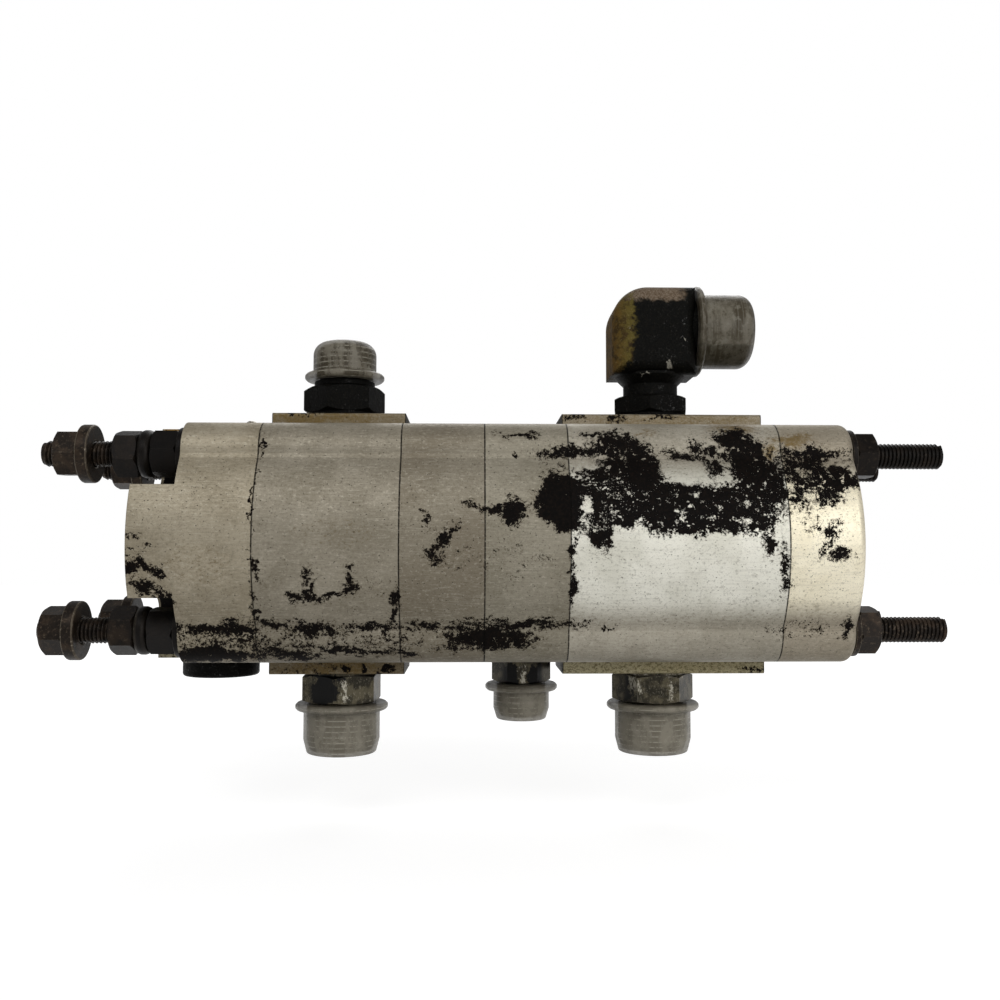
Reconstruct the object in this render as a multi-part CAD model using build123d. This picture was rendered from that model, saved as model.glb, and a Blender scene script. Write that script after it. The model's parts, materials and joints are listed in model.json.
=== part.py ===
"""Tandem external gear pump, in millimetres.

+X runs from the front mounting face to the rear, +Z is up towards the outlet ports, and the
origin is the centre of the stud pattern on the front mounting face.
"""
from math import acos, cos, pi, radians, sin, sqrt, tan
import os

from build123d import *

# Lengths of the stack along X
pad_height = 15.8
front_cover_length = 28.5
front_body_length = 52.2
front_housing_length = 30.8
rear_housing_length = 30.8
rear_body_length = 79.0
rear_cover_length = 28.2

# Extruded section, in the YZ plane
stud_spacing_y = 64.0
stud_spacing_z = 66.0
lobe_radius = 12.0
section_depth = 110.0
bulge_edge_step = 0.7
bulge_half_height = 30.6
lobe_step_drop = 1.7
crease_fillet = 2.5
port_pad_width = 36.0
port_pad_height = 6.0
port_pad_fillet = 1.2
rear_edge_share = 0.32

# Front mounting face
tongue_height = 40.8
spine_width = 24.0
pocket_fillet = 7.0
pilot_diameter = 30.0
pilot_depth = 5.0
seal_bore_depth = 23.0
circlip_thickness = 1.2
circlip_groove_depth = 1.0
circlip_width = 3.4
circlip_opening = 6.0
tang_width = 8.0
tang_length = 9.0
tang_recess = 5.5

# Shaft seals, all of one size
seal_diameter = 28.0
seal_thickness = 7.0
seal_case = 1.2
seal_pocket_depth = 3.2

# Gears and their shafts
gear_module = 2.9
gear_teeth = 12
addendum_factor = 0.9
dedendum_factor = 1.22
pressure_angle = 25.0
backlash = 0.2
shaft_diameter = 18.0
journal_end_gap = 1.0

# Bearing blocks and bushes
front_block_length = 17.0
rear_block_length = 20.0
bush_wall = 1.5
bush_end_gap = 0.5
pressure_seal_radius = 17.5
pressure_seal_width = 2.2
pressure_seal_depth = 2.0
body_seal_offset = 2.2
body_seal_width = 1.8
body_seal_depth = 1.5

# Coupling between the two stages
sleeve_diameter = 30.0
sleeve_length = 36.0
coupling_chamber_diameter = 34.0
shaft_end_gap = 2.0
spline_count = 8
spline_depth = 1.4
spline_width = 3.2
housing_wall = 3.0
shaft_hole_diameter = 19.5

# Dowels that line the casings up
dowel_diameter = 6.0
dowel_length = 10.0
dowel_inset = 9.0

# Clearances
running_clearance = 0.05
side_clearance = 0.05
fit_clearance = 0.05
stud_clearance = 0.4
cap_clearance = 0.35

# Studs, nuts and washers
stud_diameter = 10.0
front_stud_reach = 37.8
rear_stud_reach = 36.7
stud_chamfer = 1.2
nut_across_flats = 16.0
nut_chamfer = 1.0
hex_face_inset = 0.3
nut_turns = (8.0, 52.0, 21.0, 37.0)
second_nut_turn = 25.0
mounting_nut_turn = 10.0
rear_nut_turn = 5.0
clamp_washer_diameter = 20.0
clamp_washer_thickness = 2.4
clamp_nut_height = 10.2
lock_ring_diameter = 18.0
lock_ring_thickness = 4.6
second_nut_height = 9.2
mounting_gap = 11.5
mounting_washer_diameter = 22.0
mounting_washer_thickness = 4.6
mounting_nut_height = 9.2
upper_hardware_shift = 3.5
rear_washer_diameter = 20.0
rear_washer_thickness = 2.0
rear_nut_height = 8.4

# Ports: thread size, depth of thread and oil passage, and the 37 degree flare of the male ends
inlet_thread = 27.0
outlet_thread = 22.2
drain_thread = 19.05
port_depth = 16.0
inlet_passage = 19.0
outlet_passage = 14.0
drain_passage = 8.0
rear_port_offset = 38.0
o_ring_section = 2.2
flare_angle = 37.0

# Straight adapters on the underside
adapter_hex_flats = 28.6
adapter_hex_chamfer = 0.9
adapter_collar_inset = 0.6
adapter_collar_height = 1.2
adapter_hex_height = 11.0
adapter_thread_length = 18.5
adapter_wall = 3.5
adapter_nose_height = 4.2
front_adapter_turn = 34.5
rear_adapter_turn = 0.0
drain_hex_flats = 20.6
drain_collar_height = 1.0
drain_hex_height = 9.6
drain_thread_length = 13.0
drain_wall = 3.0
drain_nose_height = 3.2

# Straight outlet adapter, its lock nut and backup washer
outlet_hex_flats = 28.6
backup_washer_height = 1.6
backup_washer_diameter = 28.0
outlet_nut_height = 10.6
outlet_neck_height = 2.6
outlet_neck_diameter = 24.5
outlet_thread_length = 14.5
outlet_wall = 3.2
outlet_nose_height = 2.6
outlet_nut_turn = 12.0
lock_nut_chamfer = 1.4

# Outlet elbow and its lock nut
elbow_nut_height = 7.2
elbow_nut_turn = 20.0
elbow_axis_height = 36.8
elbow_body_bottom = 17.2
elbow_body_left = 17.0
elbow_body_right = 17.0
elbow_body_top = 16.2
elbow_body_width = 32.0
elbow_outer_radius = 14.5
elbow_edge_fillet = 7.0
elbow_neck_height = 3.4
elbow_neck_diameter = 29.0
elbow_thread_length = 22.5
elbow_bore = 16.0
elbow_nose_height = 3.0

# Push-on protective caps
cap_wall = 1.35
cap_end_wall = 1.3
cap_rim_width = 3.3
cap_rim_height = 3.0
cap_rim_edge = 0.9
cap_seat_gap = 0.4
cap_end_gap = 0.6
cap_taper = 1.4
cap_edge_radius = 1.0
cap_dome_radius = 5.5

# Plugs of the front cover
drain_plug_x = 22.0
drain_plug_head_diameter = 30.0
drain_plug_head_height = 7.7
drain_plug_thread = 20.0
drain_plug_thread_length = 12.0
drain_plug_end_gap = 2.0
drain_plug_socket_flats = 10.0
drain_plug_socket_depth = 6.0
drain_plug_edge = 1.2

# Bare plate riveted to the top of the front cover
tag_x = 37.6
tag_length = 12.6
tag_width = 58.0
tag_thickness = 0.5
rivet_spacing = 48.0
rivet_head_diameter = 5.0
rivet_head_height = 1.2
rivet_crown_diameter = 1.8
rivet_shank_diameter = 2.4
rivet_shank_length = 5.0
rivet_end_gap = 0.5

# Stations of the joints between the casings
shoulder_x = pad_height
seam_1 = shoulder_x + front_cover_length
seam_2 = seam_1 + front_body_length
seam_3 = seam_2 + front_housing_length
seam_4 = seam_3 + rear_housing_length
seam_5 = seam_4 + rear_body_length
rear_x = seam_5 + rear_cover_length

half_height = stud_spacing_z / 2 + lobe_radius
half_depth = section_depth / 2
pad_top = half_height + port_pad_height
gear_centres = gear_module * gear_teeth
drive_y = -gear_centres / 2
driven_y = gear_centres / 2
tip_radius = gear_module * (gear_teeth / 2 + addendum_factor)
chamber_radius = tip_radius + running_clearance
journal_radius = shaft_diameter / 2
bush_bore_radius = journal_radius + running_clearance
bush_outer_radius = bush_bore_radius + bush_wall
front_port_x = seam_1 + front_body_length / 2
drain_port_x = seam_3 + rear_housing_length / 2
rear_port_x = seam_4 + rear_port_offset
seal_radius = seal_diameter / 2
seal_front_x = seal_bore_depth - seal_thickness
pilot_radius = pilot_diameter / 2
seal_inner_radius = journal_radius + running_clearance


def plane_x(x, y=0.0, z=0.0):
    """Plane across X, with its own x along Y and its own y along Z."""
    return Plane(origin=(x, y, z), x_dir=(0, 1, 0), z_dir=(1, 0, 0))


def rod(x_start, x_end, radius, y=0.0, z=0.0):
    return extrude(plane_x(x_start, y, z) * Circle(radius), x_end - x_start)


def ring(x_start, x_end, outer, inner, y=0.0, z=0.0):
    return rod(x_start, x_end, outer, y, z) - rod(x_start, x_end, inner, y, z)


def outward(x, side, height=half_height):
    """Place at a port: its own z points out of the casing, up for side 1 and down for side -1."""
    return Plane(origin=(x, 0, side * height), x_dir=(1, 0, 0), z_dir=(0, 0, side))


def disc(radius, low, high):
    return Pos(0, 0, low) * extrude(Circle(radius), high - low)


def washer(outer, inner, low, high):
    return disc(outer, low, high) - disc(inner, low, high)


def turned(points):
    """Solid of revolution about its own z, from (radius, height) points."""
    outline = Polyline(*[(radius, 0, height) for radius, height in points], close=True)
    return revolve(make_face(outline), Axis.Z)


def hexagon(flats, height, turn=0.0, chamfer_height=0.0, low=0.0):
    """Hexagonal prism, with its corners turned down at both ends if it has a chamfer."""
    prism = Pos(0, 0, low) * Rot(0, 0, turn) * extrude(
        RegularPolygon(flats / 2, 6, major_radius=False), height)
    if chamfer_height <= 0:
        return prism
    corner = flats / sqrt(3)
    inner = flats / 2 - hex_face_inset
    high = low + height
    turned_bar = turned([(0, low), (inner, low), (corner, low + chamfer_height),
                         (corner, high - chamfer_height), (inner, high), (0, high)])
    return prism & turned_bar


def stud_places():
    return [(side_y * stud_spacing_y / 2, side_z * stud_spacing_z / 2)
            for side_y in (-1, 1) for side_z in (-1, 1)]


def section_face():
    """Outline of the extrusion: a bulged middle between four round stud lobes."""
    stud_y = stud_spacing_y / 2
    stud_z = stud_spacing_z / 2
    bulge_edge = stud_y + lobe_radius + bulge_edge_step
    bulge_rise = half_depth - bulge_edge
    bulge_radius = (bulge_half_height ** 2 + bulge_rise ** 2) / (2 * bulge_rise)
    bulge_centre = half_depth - bulge_radius
    step_drop = stud_z - bulge_half_height - lobe_step_drop
    step_y = stud_y + sqrt(lobe_radius ** 2 - step_drop ** 2)
    step_z = stud_z - step_drop
    lobe_turn = radians(45) - acos(step_y / lobe_radius - stud_y / lobe_radius) / 2
    middle = (stud_y + lobe_radius * cos(lobe_turn), stud_z + lobe_radius * sin(lobe_turn))
    bulge_mid_z = bulge_half_height / 2
    bulge_mid = bulge_centre + sqrt(bulge_radius ** 2 - bulge_mid_z ** 2)
    quarter = [
        Line((0, half_height), (stud_y, half_height)),
        ThreePointArc((stud_y, half_height), middle, (step_y, step_z)),
        Line((step_y, step_z), (bulge_edge, bulge_half_height)),
        ThreePointArc((bulge_edge, bulge_half_height), (bulge_mid, bulge_mid_z), (half_depth, 0)),
    ]
    half = quarter + [mirror(edge, Plane.XZ) for edge in quarter]
    edges = [edge.edge() for edge in half + [mirror(edge, Plane.YZ) for edge in half]]
    whole = Face(Wire.combine(edges)[0])
    creases = [vertex for vertex in whole.vertices()
               if abs(abs(vertex.Y) - bulge_half_height) < 0.01
               or abs(abs(vertex.Y) - step_z) < 0.01]
    return fillet(creases, crease_fillet)


def section(x_start, x_end):
    return extrude(plane_x(x_start) * section_face(), x_end - x_start, dir=(1, 0, 0))


def figure_eight(radius):
    return (Pos(drive_y, 0) * Circle(radius) + Pos(driven_y, 0) * Circle(radius))


def figure_eight_bar(x_start, x_end, radius):
    return extrude(plane_x(x_start) * figure_eight(radius), x_end - x_start)


def figure_eight_ring(x_start, x_end, radius, width):
    return (figure_eight_bar(x_start, x_end, radius + width)
            - figure_eight_bar(x_start, x_end, radius))


def stud_holes(x_start, x_end):
    radius = stud_diameter / 2 + stud_clearance
    return [rod(x_start, x_end, radius, y, z) for y, z in stud_places()]


def dowel_bar(seam):
    """The pair of dowels across one seam."""
    dowel_y = half_depth - dowel_inset
    return [rod(seam - dowel_length / 2, seam + dowel_length / 2, dowel_diameter / 2, side * dowel_y)
            for side in (-1, 1)]


def port_pad(x_start, x_end, side):
    """Raised flat around the port of a gear body."""
    height = port_pad_height + crease_fillet
    pad = Pos((x_start + x_end) / 2, 0, side * (pad_top - height / 2)) * Box(
        x_end - x_start, port_pad_width, height)
    outer = pad.faces().sort_by(Axis.Z)[-1 if side > 0 else 0]
    return fillet(outer.edges().filter_by(Axis.X), port_pad_fillet)


def port_cut(x, side, thread, passage, height, reach):
    """Threaded port with a seat for its seal ring, and its passage inwards."""
    cut = disc(thread / 2, -port_depth, 0) + disc(passage / 2, -reach, 0)
    cut += disc(thread / 2 + o_ring_section, -o_ring_section, 0)
    return outward(x, side, height) * cut


def gear_body(x_start, x_end, port_x):
    body = section(x_start, x_end)
    body += port_pad(x_start, x_end, 1)
    body += port_pad(x_start, x_end, -1)
    body -= figure_eight_bar(x_start, x_end, chamber_radius)
    seal_radius = chamber_radius + body_seal_offset
    body -= figure_eight_ring(x_start, x_start + body_seal_depth, seal_radius, body_seal_width)
    body -= figure_eight_ring(x_end - body_seal_depth, x_end, seal_radius, body_seal_width)
    body -= stud_holes(x_start, x_end)
    body -= dowel_bar(x_start)
    body -= dowel_bar(x_end)
    body -= port_cut(port_x, 1, outlet_thread, outlet_passage, pad_top, pad_top)
    body -= port_cut(port_x, -1, inlet_thread, inlet_passage, pad_top, pad_top)
    return body


def front_cover():
    """Flange with a cross-shaped mounting face and a pocket round each stud."""
    cross = Rectangle(section_depth, tongue_height) + Rectangle(spine_width, 2 * half_height)
    inner = [vertex for vertex in cross.vertices()
             if abs(vertex.X) < half_depth - 1 and abs(vertex.Y) < half_height - 1]
    cross = fillet(inner, pocket_fillet)
    arms = extrude(plane_x(0) * (cross & section_face()), pad_height, dir=(1, 0, 0))
    cover = arms + section(shoulder_x, seam_1)
    cover -= rod(0, pilot_depth, pilot_radius, drive_y)
    cover -= rod(0, seal_bore_depth, seal_radius, drive_y)
    cover -= rod(0, seam_1, shaft_hole_diameter / 2, drive_y)
    cover -= rod(seal_front_x - circlip_thickness, seal_front_x, seal_radius + circlip_groove_depth, drive_y)
    cover -= stud_holes(0, seam_1)
    cover -= dowel_bar(seam_1)
    plug_place = outward(drain_plug_x, -1)
    cover -= plug_place * disc(drain_plug_thread / 2, -drain_plug_thread_length, 0)
    for side in (-1, 1):
        cover -= Pos(tag_x, side * rivet_spacing / 2, half_height) * disc(
            rivet_shank_diameter / 2, -rivet_shank_length, 0)
    return cover


def rear_cover():
    cover = section(seam_5, rear_x)
    rim = cover.faces().sort_by(Axis.X)[-1].edges()
    bulge_height = half_depth - stud_spacing_y / 2 - lobe_radius
    cover = fillet(rim, rear_edge_share * bulge_height)
    cover -= stud_holes(seam_5, rear_x)
    cover -= dowel_bar(seam_5)
    return cover


def front_housing():
    """Front half of the coupling chamber, with the seal bore of the front stage."""
    housing = section(seam_2, seam_3)
    housing -= rod(seam_2, seam_3, shaft_hole_diameter / 2, drive_y)
    housing -= rod(seam_2 + housing_wall, seam_3, seal_radius, drive_y)
    chamber_start = seam_2 + housing_wall + seal_thickness
    housing -= rod(chamber_start, seam_3, coupling_chamber_diameter / 2, drive_y)
    housing -= stud_holes(seam_2, seam_3)
    housing -= dowel_bar(seam_2)
    housing -= dowel_bar(seam_3)
    return housing


def rear_housing():
    """Rear half of the coupling chamber, drained through the small port below it."""
    housing = section(seam_3, seam_4)
    housing -= rod(seam_3, seam_4, shaft_hole_diameter / 2, drive_y)
    housing -= rod(seam_3, seam_4 - housing_wall, seal_radius, drive_y)
    chamber_end = seam_4 - housing_wall - seal_thickness
    housing -= rod(seam_3, chamber_end, coupling_chamber_diameter / 2, drive_y)
    groove_inner = coupling_chamber_diameter / 2 + body_seal_offset
    housing -= ring(seam_3, seam_3 + body_seal_depth, groove_inner + body_seal_width, groove_inner, drive_y)
    housing -= stud_holes(seam_3, seam_4)
    housing -= dowel_bar(seam_3)
    housing -= dowel_bar(seam_4)
    housing -= port_cut(drain_port_x, -1, drain_thread, drain_passage, half_height, half_height)
    return housing


def involute_angle(base_radius, radius):
    roll = sqrt(max((radius / base_radius) ** 2 - 1, 0))
    return roll - acos(min(base_radius / radius, 1))


def polar(radius, angle):
    return (radius * cos(angle), radius * sin(angle))


def gear_face(first_tooth):
    """Involute gear outline; first_tooth is the angle of one tooth, in degrees."""
    pitch_radius = gear_module * gear_teeth / 2
    base_radius = pitch_radius * cos(radians(pressure_angle))
    root_radius = pitch_radius - gear_module * dedendum_factor
    half_thickness = pi / (2 * gear_teeth) - backlash / (4 * pitch_radius)
    pitch_involute = tan(radians(pressure_angle)) - radians(pressure_angle)
    base_half = half_thickness + pitch_involute
    radii = [base_radius + (tip_radius - base_radius) * step / 4 for step in range(5)]
    tip_half = base_half - involute_angle(base_radius, tip_radius)
    pitch_step = 2 * pi / gear_teeth
    edges = []
    for tooth in range(gear_teeth):
        centre = radians(first_tooth) + tooth * pitch_step
        rising = [polar(radius, centre - base_half + involute_angle(base_radius, radius))
                  for radius in radii]
        falling = [polar(radius, centre + base_half - involute_angle(base_radius, radius))
                   for radius in reversed(radii)]
        root_start = polar(root_radius, centre - base_half)
        root_end = polar(root_radius, centre + base_half)
        next_start = polar(root_radius, centre + pitch_step - base_half)
        edges.append(Line(root_start, rising[0]))
        edges.append(Spline(*rising))
        edges.append(ThreePointArc(rising[-1], polar(tip_radius, centre), falling[0]))
        edges.append(Spline(*falling))
        edges.append(Line(falling[-1], root_end))
        edges.append(ThreePointArc(root_end, polar(root_radius, centre + pitch_step / 2), next_start))
    return Face(Wire(edges))


def gear(x_start, x_end, y, first_tooth):
    return extrude(plane_x(x_start, y) * gear_face(first_tooth), x_end - x_start)


def gear_span(x_start, x_end, block_length):
    """The gap between the two bearing blocks, less the running gap at each side."""
    return x_start + block_length + side_clearance, x_end - block_length - side_clearance


def spline_keys(x_start, x_end, growth=0.0):
    """Straight-sided spline teeth, rooted in the shaft's core and cut off at the journal's size."""
    bottom = journal_radius - spline_depth
    keys = []
    for index in range(spline_count):
        turn = Rot(index * 360 / spline_count, 0, 0)
        key = Pos((x_start + x_end) / 2, 0, bottom + spline_depth / 2) * Box(
            x_end - x_start, spline_width + 2 * growth, 2 * spline_depth)
        keys.append(Pos(0, drive_y, 0) * turn * key)
    bar = rod(x_start, x_end, journal_radius + growth, drive_y)
    core = rod(x_start, x_end, bottom + growth, drive_y)
    return core + [key & bar for key in keys]


def front_drive_gear():
    gear_start, gear_end = gear_span(seam_1, seam_2, front_block_length)
    tang_end = tang_recess + tang_length
    spline_start = seam_3 - sleeve_length / 2
    shaft_end = seam_3 - shaft_end_gap / 2
    solid = gear(gear_start, gear_end, drive_y, 0.0)
    solid += rod(tang_end, spline_start, journal_radius, drive_y)
    tang_bar = rod(tang_recess, tang_end, journal_radius, drive_y)
    tang = Pos((tang_recess + tang_end) / 2, drive_y, 0) * Box(tang_length, shaft_diameter, tang_width)
    solid += tang_bar & tang
    solid += spline_keys(spline_start, shaft_end)
    return solid


def rear_drive_gear():
    gear_start, gear_end = gear_span(seam_4, seam_5, rear_block_length)
    spline_end = seam_3 + sleeve_length / 2
    shaft_start = seam_3 + shaft_end_gap / 2
    solid = gear(gear_start, gear_end, drive_y, 0.0)
    solid += rod(spline_end, seam_5 - journal_end_gap, journal_radius, drive_y)
    solid += spline_keys(shaft_start, spline_end)
    return solid


def driven_gear(x_start, x_end, block_length):
    gear_start, gear_end = gear_span(x_start, x_end, block_length)
    solid = gear(gear_start, gear_end, driven_y, 180.0 / gear_teeth)
    solid += rod(x_start + journal_end_gap, x_end - journal_end_gap, journal_radius, driven_y)
    return solid


def coupling_sleeve():
    start = seam_3 - sleeve_length / 2
    end = seam_3 + sleeve_length / 2
    sleeve = rod(start, end, sleeve_diameter / 2, drive_y)
    return sleeve - spline_keys(start, end, fit_clearance)


def bearing_block(x_start, x_end, seal_side):
    """Block round both journals; seal_side is 1 where the pressure seal lies at its far end."""
    block = figure_eight_bar(x_start, x_end, chamber_radius - fit_clearance)
    for y in (drive_y, driven_y):
        block -= rod(x_start, x_end, bush_outer_radius, y)
    seal_start = x_end - pressure_seal_depth if seal_side > 0 else x_start
    block -= figure_eight_ring(seal_start, seal_start + pressure_seal_depth,
                               pressure_seal_radius - pressure_seal_width, pressure_seal_width)
    return block


def block_places(x_start, x_end, length):
    """Start, end and seal side of the two blocks of one stage."""
    return [(x_start, x_start + length, -1), (x_end - length, x_end, 1)]


def stage_bushes(x_start, x_end, length):
    bushes = []
    for start, end, seal_side in block_places(x_start, x_end, length):
        for y in (drive_y, driven_y):
            bushes.append(ring(start + bush_end_gap, end - bush_end_gap,
                               bush_outer_radius, bush_bore_radius, y))
    return bushes


def stage_pressure_seals(x_start, x_end, length):
    seals = []
    for start, end, seal_side in block_places(x_start, x_end, length):
        low = end - pressure_seal_depth if seal_side > 0 else start
        seals.append(figure_eight_ring(low, low + pressure_seal_depth,
                                       pressure_seal_radius - pressure_seal_width, pressure_seal_width))
    return seals


def stage_body_seals(x_start, x_end):
    radius = chamber_radius + body_seal_offset
    return [figure_eight_ring(x_start, x_start + body_seal_depth, radius, body_seal_width),
            figure_eight_ring(x_end - body_seal_depth, x_end, radius, body_seal_width)]


def coupling_chamber_seal():
    inner = coupling_chamber_diameter / 2 + body_seal_offset
    return ring(seam_3, seam_3 + body_seal_depth, inner + body_seal_width, inner, drive_y)


def lip_seal(x_start, oil_side):
    """Rotary shaft seal: a cased ring, hollow behind its lip on the oil side."""
    solid = ring(x_start, x_start + seal_thickness, seal_radius, seal_inner_radius, drive_y)
    pocket_start = x_start + seal_thickness - seal_pocket_depth if oil_side > 0 else x_start
    return solid - ring(pocket_start, pocket_start + seal_pocket_depth, seal_radius - seal_case,
                        seal_inner_radius + seal_case, drive_y)


def circlip():
    end = seal_front_x
    outer = seal_radius + circlip_groove_depth
    clip = ring(end - circlip_thickness, end, outer, outer - circlip_width, drive_y)
    opening = Pos(end - circlip_thickness / 2, drive_y, -outer) * Box(
        2 * circlip_thickness, circlip_opening, outer)
    return clip - opening


def stud(y, z):
    bar = rod(-front_stud_reach, rear_x + rear_stud_reach, stud_diameter / 2, y, z)
    ends = bar.edges().filter_by(GeomType.CIRCLE)
    return chamfer(ends, stud_chamfer)


def hardware_shift(z):
    return upper_hardware_shift if z > 0 else 0.0


def stud_nut(x_start, height, y, z, turn):
    nut = hexagon(nut_across_flats, height, turn, nut_chamfer)
    nut -= disc(stud_diameter / 2, 0, height)
    return plane_x(x_start, y, z) * nut


def stud_washer(x_start, thickness, diameter, y, z):
    return ring(x_start, x_start + thickness, diameter / 2, stud_diameter / 2, y, z)


def fastener_stations():
    """Start of each nut and washer along the front end of the lower studs."""
    stations = {}
    stations["clamp_washer"] = shoulder_x - clamp_washer_thickness
    stations["clamp_nut"] = stations["clamp_washer"] - clamp_nut_height
    stations["lock_ring"] = stations["clamp_nut"] - lock_ring_thickness
    stations["second_nut"] = stations["lock_ring"] - second_nut_height
    stations["mounting_washer"] = stations["second_nut"] - mounting_gap - mounting_washer_thickness
    stations["mounting_nut"] = stations["mounting_washer"] - mounting_nut_height
    return stations


def male_end(radius, start, end, nose):
    """Male thread with its flared nose, as a solid bar along its own z."""
    drop = nose * tan(radians(flare_angle))
    return turned([(0, start), (radius, start), (radius, end - nose), (radius - drop, end), (0, end)])


def straight_adapter(thread, flats, collar, hex_height, thread_length, wall, nose, turn):
    """Adapter along its own z: port thread below 0, then collar, hexagon and male end."""
    radius = thread / 2
    solid = disc(radius, o_ring_section - port_depth, collar + hex_height)
    solid += disc(flats / 2 - adapter_collar_inset, 0, collar)
    solid += hexagon(flats, hex_height, turn, adapter_hex_chamfer, collar)
    end = collar + hex_height + thread_length
    solid += male_end(radius, collar + hex_height, end, nose)
    solid -= disc(radius - wall, -port_depth, end)
    return solid


def cap_solid(thread, depth, nose, taper, corner):
    """Push-on cap along its own z: open rim at 0, and an end that narrows over the fitting's nose."""
    inner = thread / 2 + cap_clearance
    outer = inner + cap_wall
    rim = outer + cap_rim_width
    end = depth + cap_end_wall
    shell = turned([(0, 0), (rim - cap_rim_edge, 0), (rim, cap_rim_edge),
                    (rim, cap_rim_height - cap_rim_edge), (rim - cap_rim_edge, cap_rim_height),
                    (outer, cap_rim_height), (outer, depth - nose), (outer - taper, end), (0, end)])
    if corner > 0:
        top = shell.faces().sort_by(Axis.Z)[-1].edges()
        shell = fillet(top, corner)
    hollow = turned([(0, 0), (inner, 0), (inner, depth - nose),
                     (inner - taper, depth), (0, depth)])
    if corner > cap_wall:
        top = hollow.faces().sort_by(Axis.Z)[-1].edges()
        hollow = fillet(top, corner - cap_wall)
    return shell - hollow


def adapter_cap(x, height, thread, shoulder, thread_length, nose):
    """Cap over the male thread of an adapter on the underside."""
    start = shoulder + cap_seat_gap
    depth = thread_length - cap_seat_gap + cap_end_gap
    return outward(x, -1, height) * Pos(0, 0, start) * cap_solid(
        thread, depth, nose, cap_taper, cap_edge_radius)


def outlet_adapter():
    """Straight adjustable adapter on top of the front gear body."""
    radius = outlet_thread / 2
    nut_top = backup_washer_height + outlet_nut_height
    neck_top = nut_top + outlet_neck_height
    end = neck_top + outlet_thread_length
    solid = disc(radius, o_ring_section - port_depth, nut_top)
    solid += disc(outlet_neck_diameter / 2, nut_top + cap_seat_gap, neck_top)
    solid += male_end(radius, nut_top, end, outlet_nose_height)
    solid -= disc(radius - outlet_wall, -port_depth, end)
    return outward(front_port_x, 1, pad_top) * solid


def outlet_cap():
    neck_top = backup_washer_height + outlet_nut_height + outlet_neck_height
    depth = outlet_thread_length - cap_seat_gap + cap_end_gap
    return outward(front_port_x, 1, pad_top) * Pos(0, 0, neck_top + cap_seat_gap) * cap_solid(
        outlet_thread, depth, outlet_nose_height, 0.0, cap_dome_radius)


def lock_nut(x, height, turn):
    """Lock nut on the stud of a top fitting, over its backup washer."""
    nut = hexagon(outlet_hex_flats, height, turn, lock_nut_chamfer, backup_washer_height)
    nut -= disc(outlet_thread / 2, backup_washer_height, backup_washer_height + height)
    return outward(x, 1, pad_top) * nut


def backup_washer(x):
    return outward(x, 1, pad_top) * washer(
        backup_washer_diameter / 2, outlet_thread / 2, 0, backup_washer_height)


def port_o_ring(x, side, height, thread):
    return outward(x, side, height) * washer(
        thread / 2 + o_ring_section, thread / 2, -o_ring_section, 0)


def elbow_body_profile():
    """Side view of the forging, in its own x and y, about the crossing of its two axes."""
    low = elbow_body_bottom - elbow_axis_height
    return Polyline((-elbow_body_left, low), (-elbow_body_left, elbow_body_top),
                    (elbow_body_right, elbow_body_top), (elbow_body_right, low), close=True)


def elbow():
    """Right-angle fitting: stud below, forged corner, male end along +X."""
    stud_radius = outlet_thread / 2 - fit_clearance
    male_radius = inlet_thread / 2
    crossing = Plane(origin=(rear_port_x, 0, pad_top + elbow_axis_height),
                     x_dir=(1, 0, 0), z_dir=(0, -1, 0))
    outline = make_face(elbow_body_profile())
    corner = outline.vertices().sort_by(Axis.X)[:2].sort_by(Axis.Y)[-1]
    outline = fillet(corner, elbow_outer_radius)
    forging = extrude(crossing * outline, elbow_body_width / 2, both=True)
    long_edges = (forging.faces().sort_by(Axis.Y)[0].edges()
                  + forging.faces().sort_by(Axis.Y)[-1].edges())
    forging = fillet(long_edges, elbow_edge_fillet)
    stud_place = outward(rear_port_x, 1, pad_top)
    neck_low = elbow_body_bottom - elbow_neck_height
    lower = turned([(0, o_ring_section - port_depth), (stud_radius, o_ring_section - port_depth),
                    (stud_radius, neck_low), (elbow_neck_diameter / 2, elbow_body_bottom),
                    (elbow_neck_diameter / 2, elbow_body_bottom + 1), (0, elbow_body_bottom + 1)])
    male_place = Plane(origin=(rear_port_x, 0, pad_top + elbow_axis_height),
                       x_dir=(0, 1, 0), z_dir=(1, 0, 0))
    male_length = elbow_body_right + elbow_thread_length
    male = male_end(male_radius, 0, male_length, elbow_nose_height)
    solid = forging + stud_place * lower + male_place * male
    solid -= stud_place * disc(elbow_bore / 2, -port_depth, elbow_axis_height)
    solid -= male_place * disc(elbow_bore / 2, 0, male_length)
    return solid


def elbow_cap():
    place = Plane(origin=(rear_port_x + elbow_body_right + cap_seat_gap, 0, pad_top + elbow_axis_height),
                  x_dir=(0, 1, 0), z_dir=(1, 0, 0))
    depth = elbow_thread_length - cap_seat_gap + cap_end_gap
    return place * cap_solid(inlet_thread, depth, elbow_nose_height, 0.0, cap_dome_radius)


def cover_plug():
    """Screwed plug under the front cover, with a hexagon socket."""
    head = disc(drain_plug_head_diameter / 2, 0, drain_plug_head_height)
    rim = head.faces().sort_by(Axis.Z)[-1].edges()
    plug = fillet(rim, drain_plug_edge)
    plug += disc(drain_plug_thread / 2, drain_plug_end_gap - drain_plug_thread_length, 0)
    plug -= hexagon(drain_plug_socket_flats, drain_plug_socket_depth, 0, 0,
                    drain_plug_head_height - drain_plug_socket_depth)
    return outward(drain_plug_x, -1) * plug


def tag_plate():
    plate = Pos(tag_x, 0, half_height + tag_thickness / 2) * Box(tag_length, tag_width, tag_thickness)
    for side in (-1, 1):
        plate -= Pos(tag_x, side * rivet_spacing / 2, half_height) * disc(
            rivet_shank_diameter / 2, 0, tag_thickness)
    return plate


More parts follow.
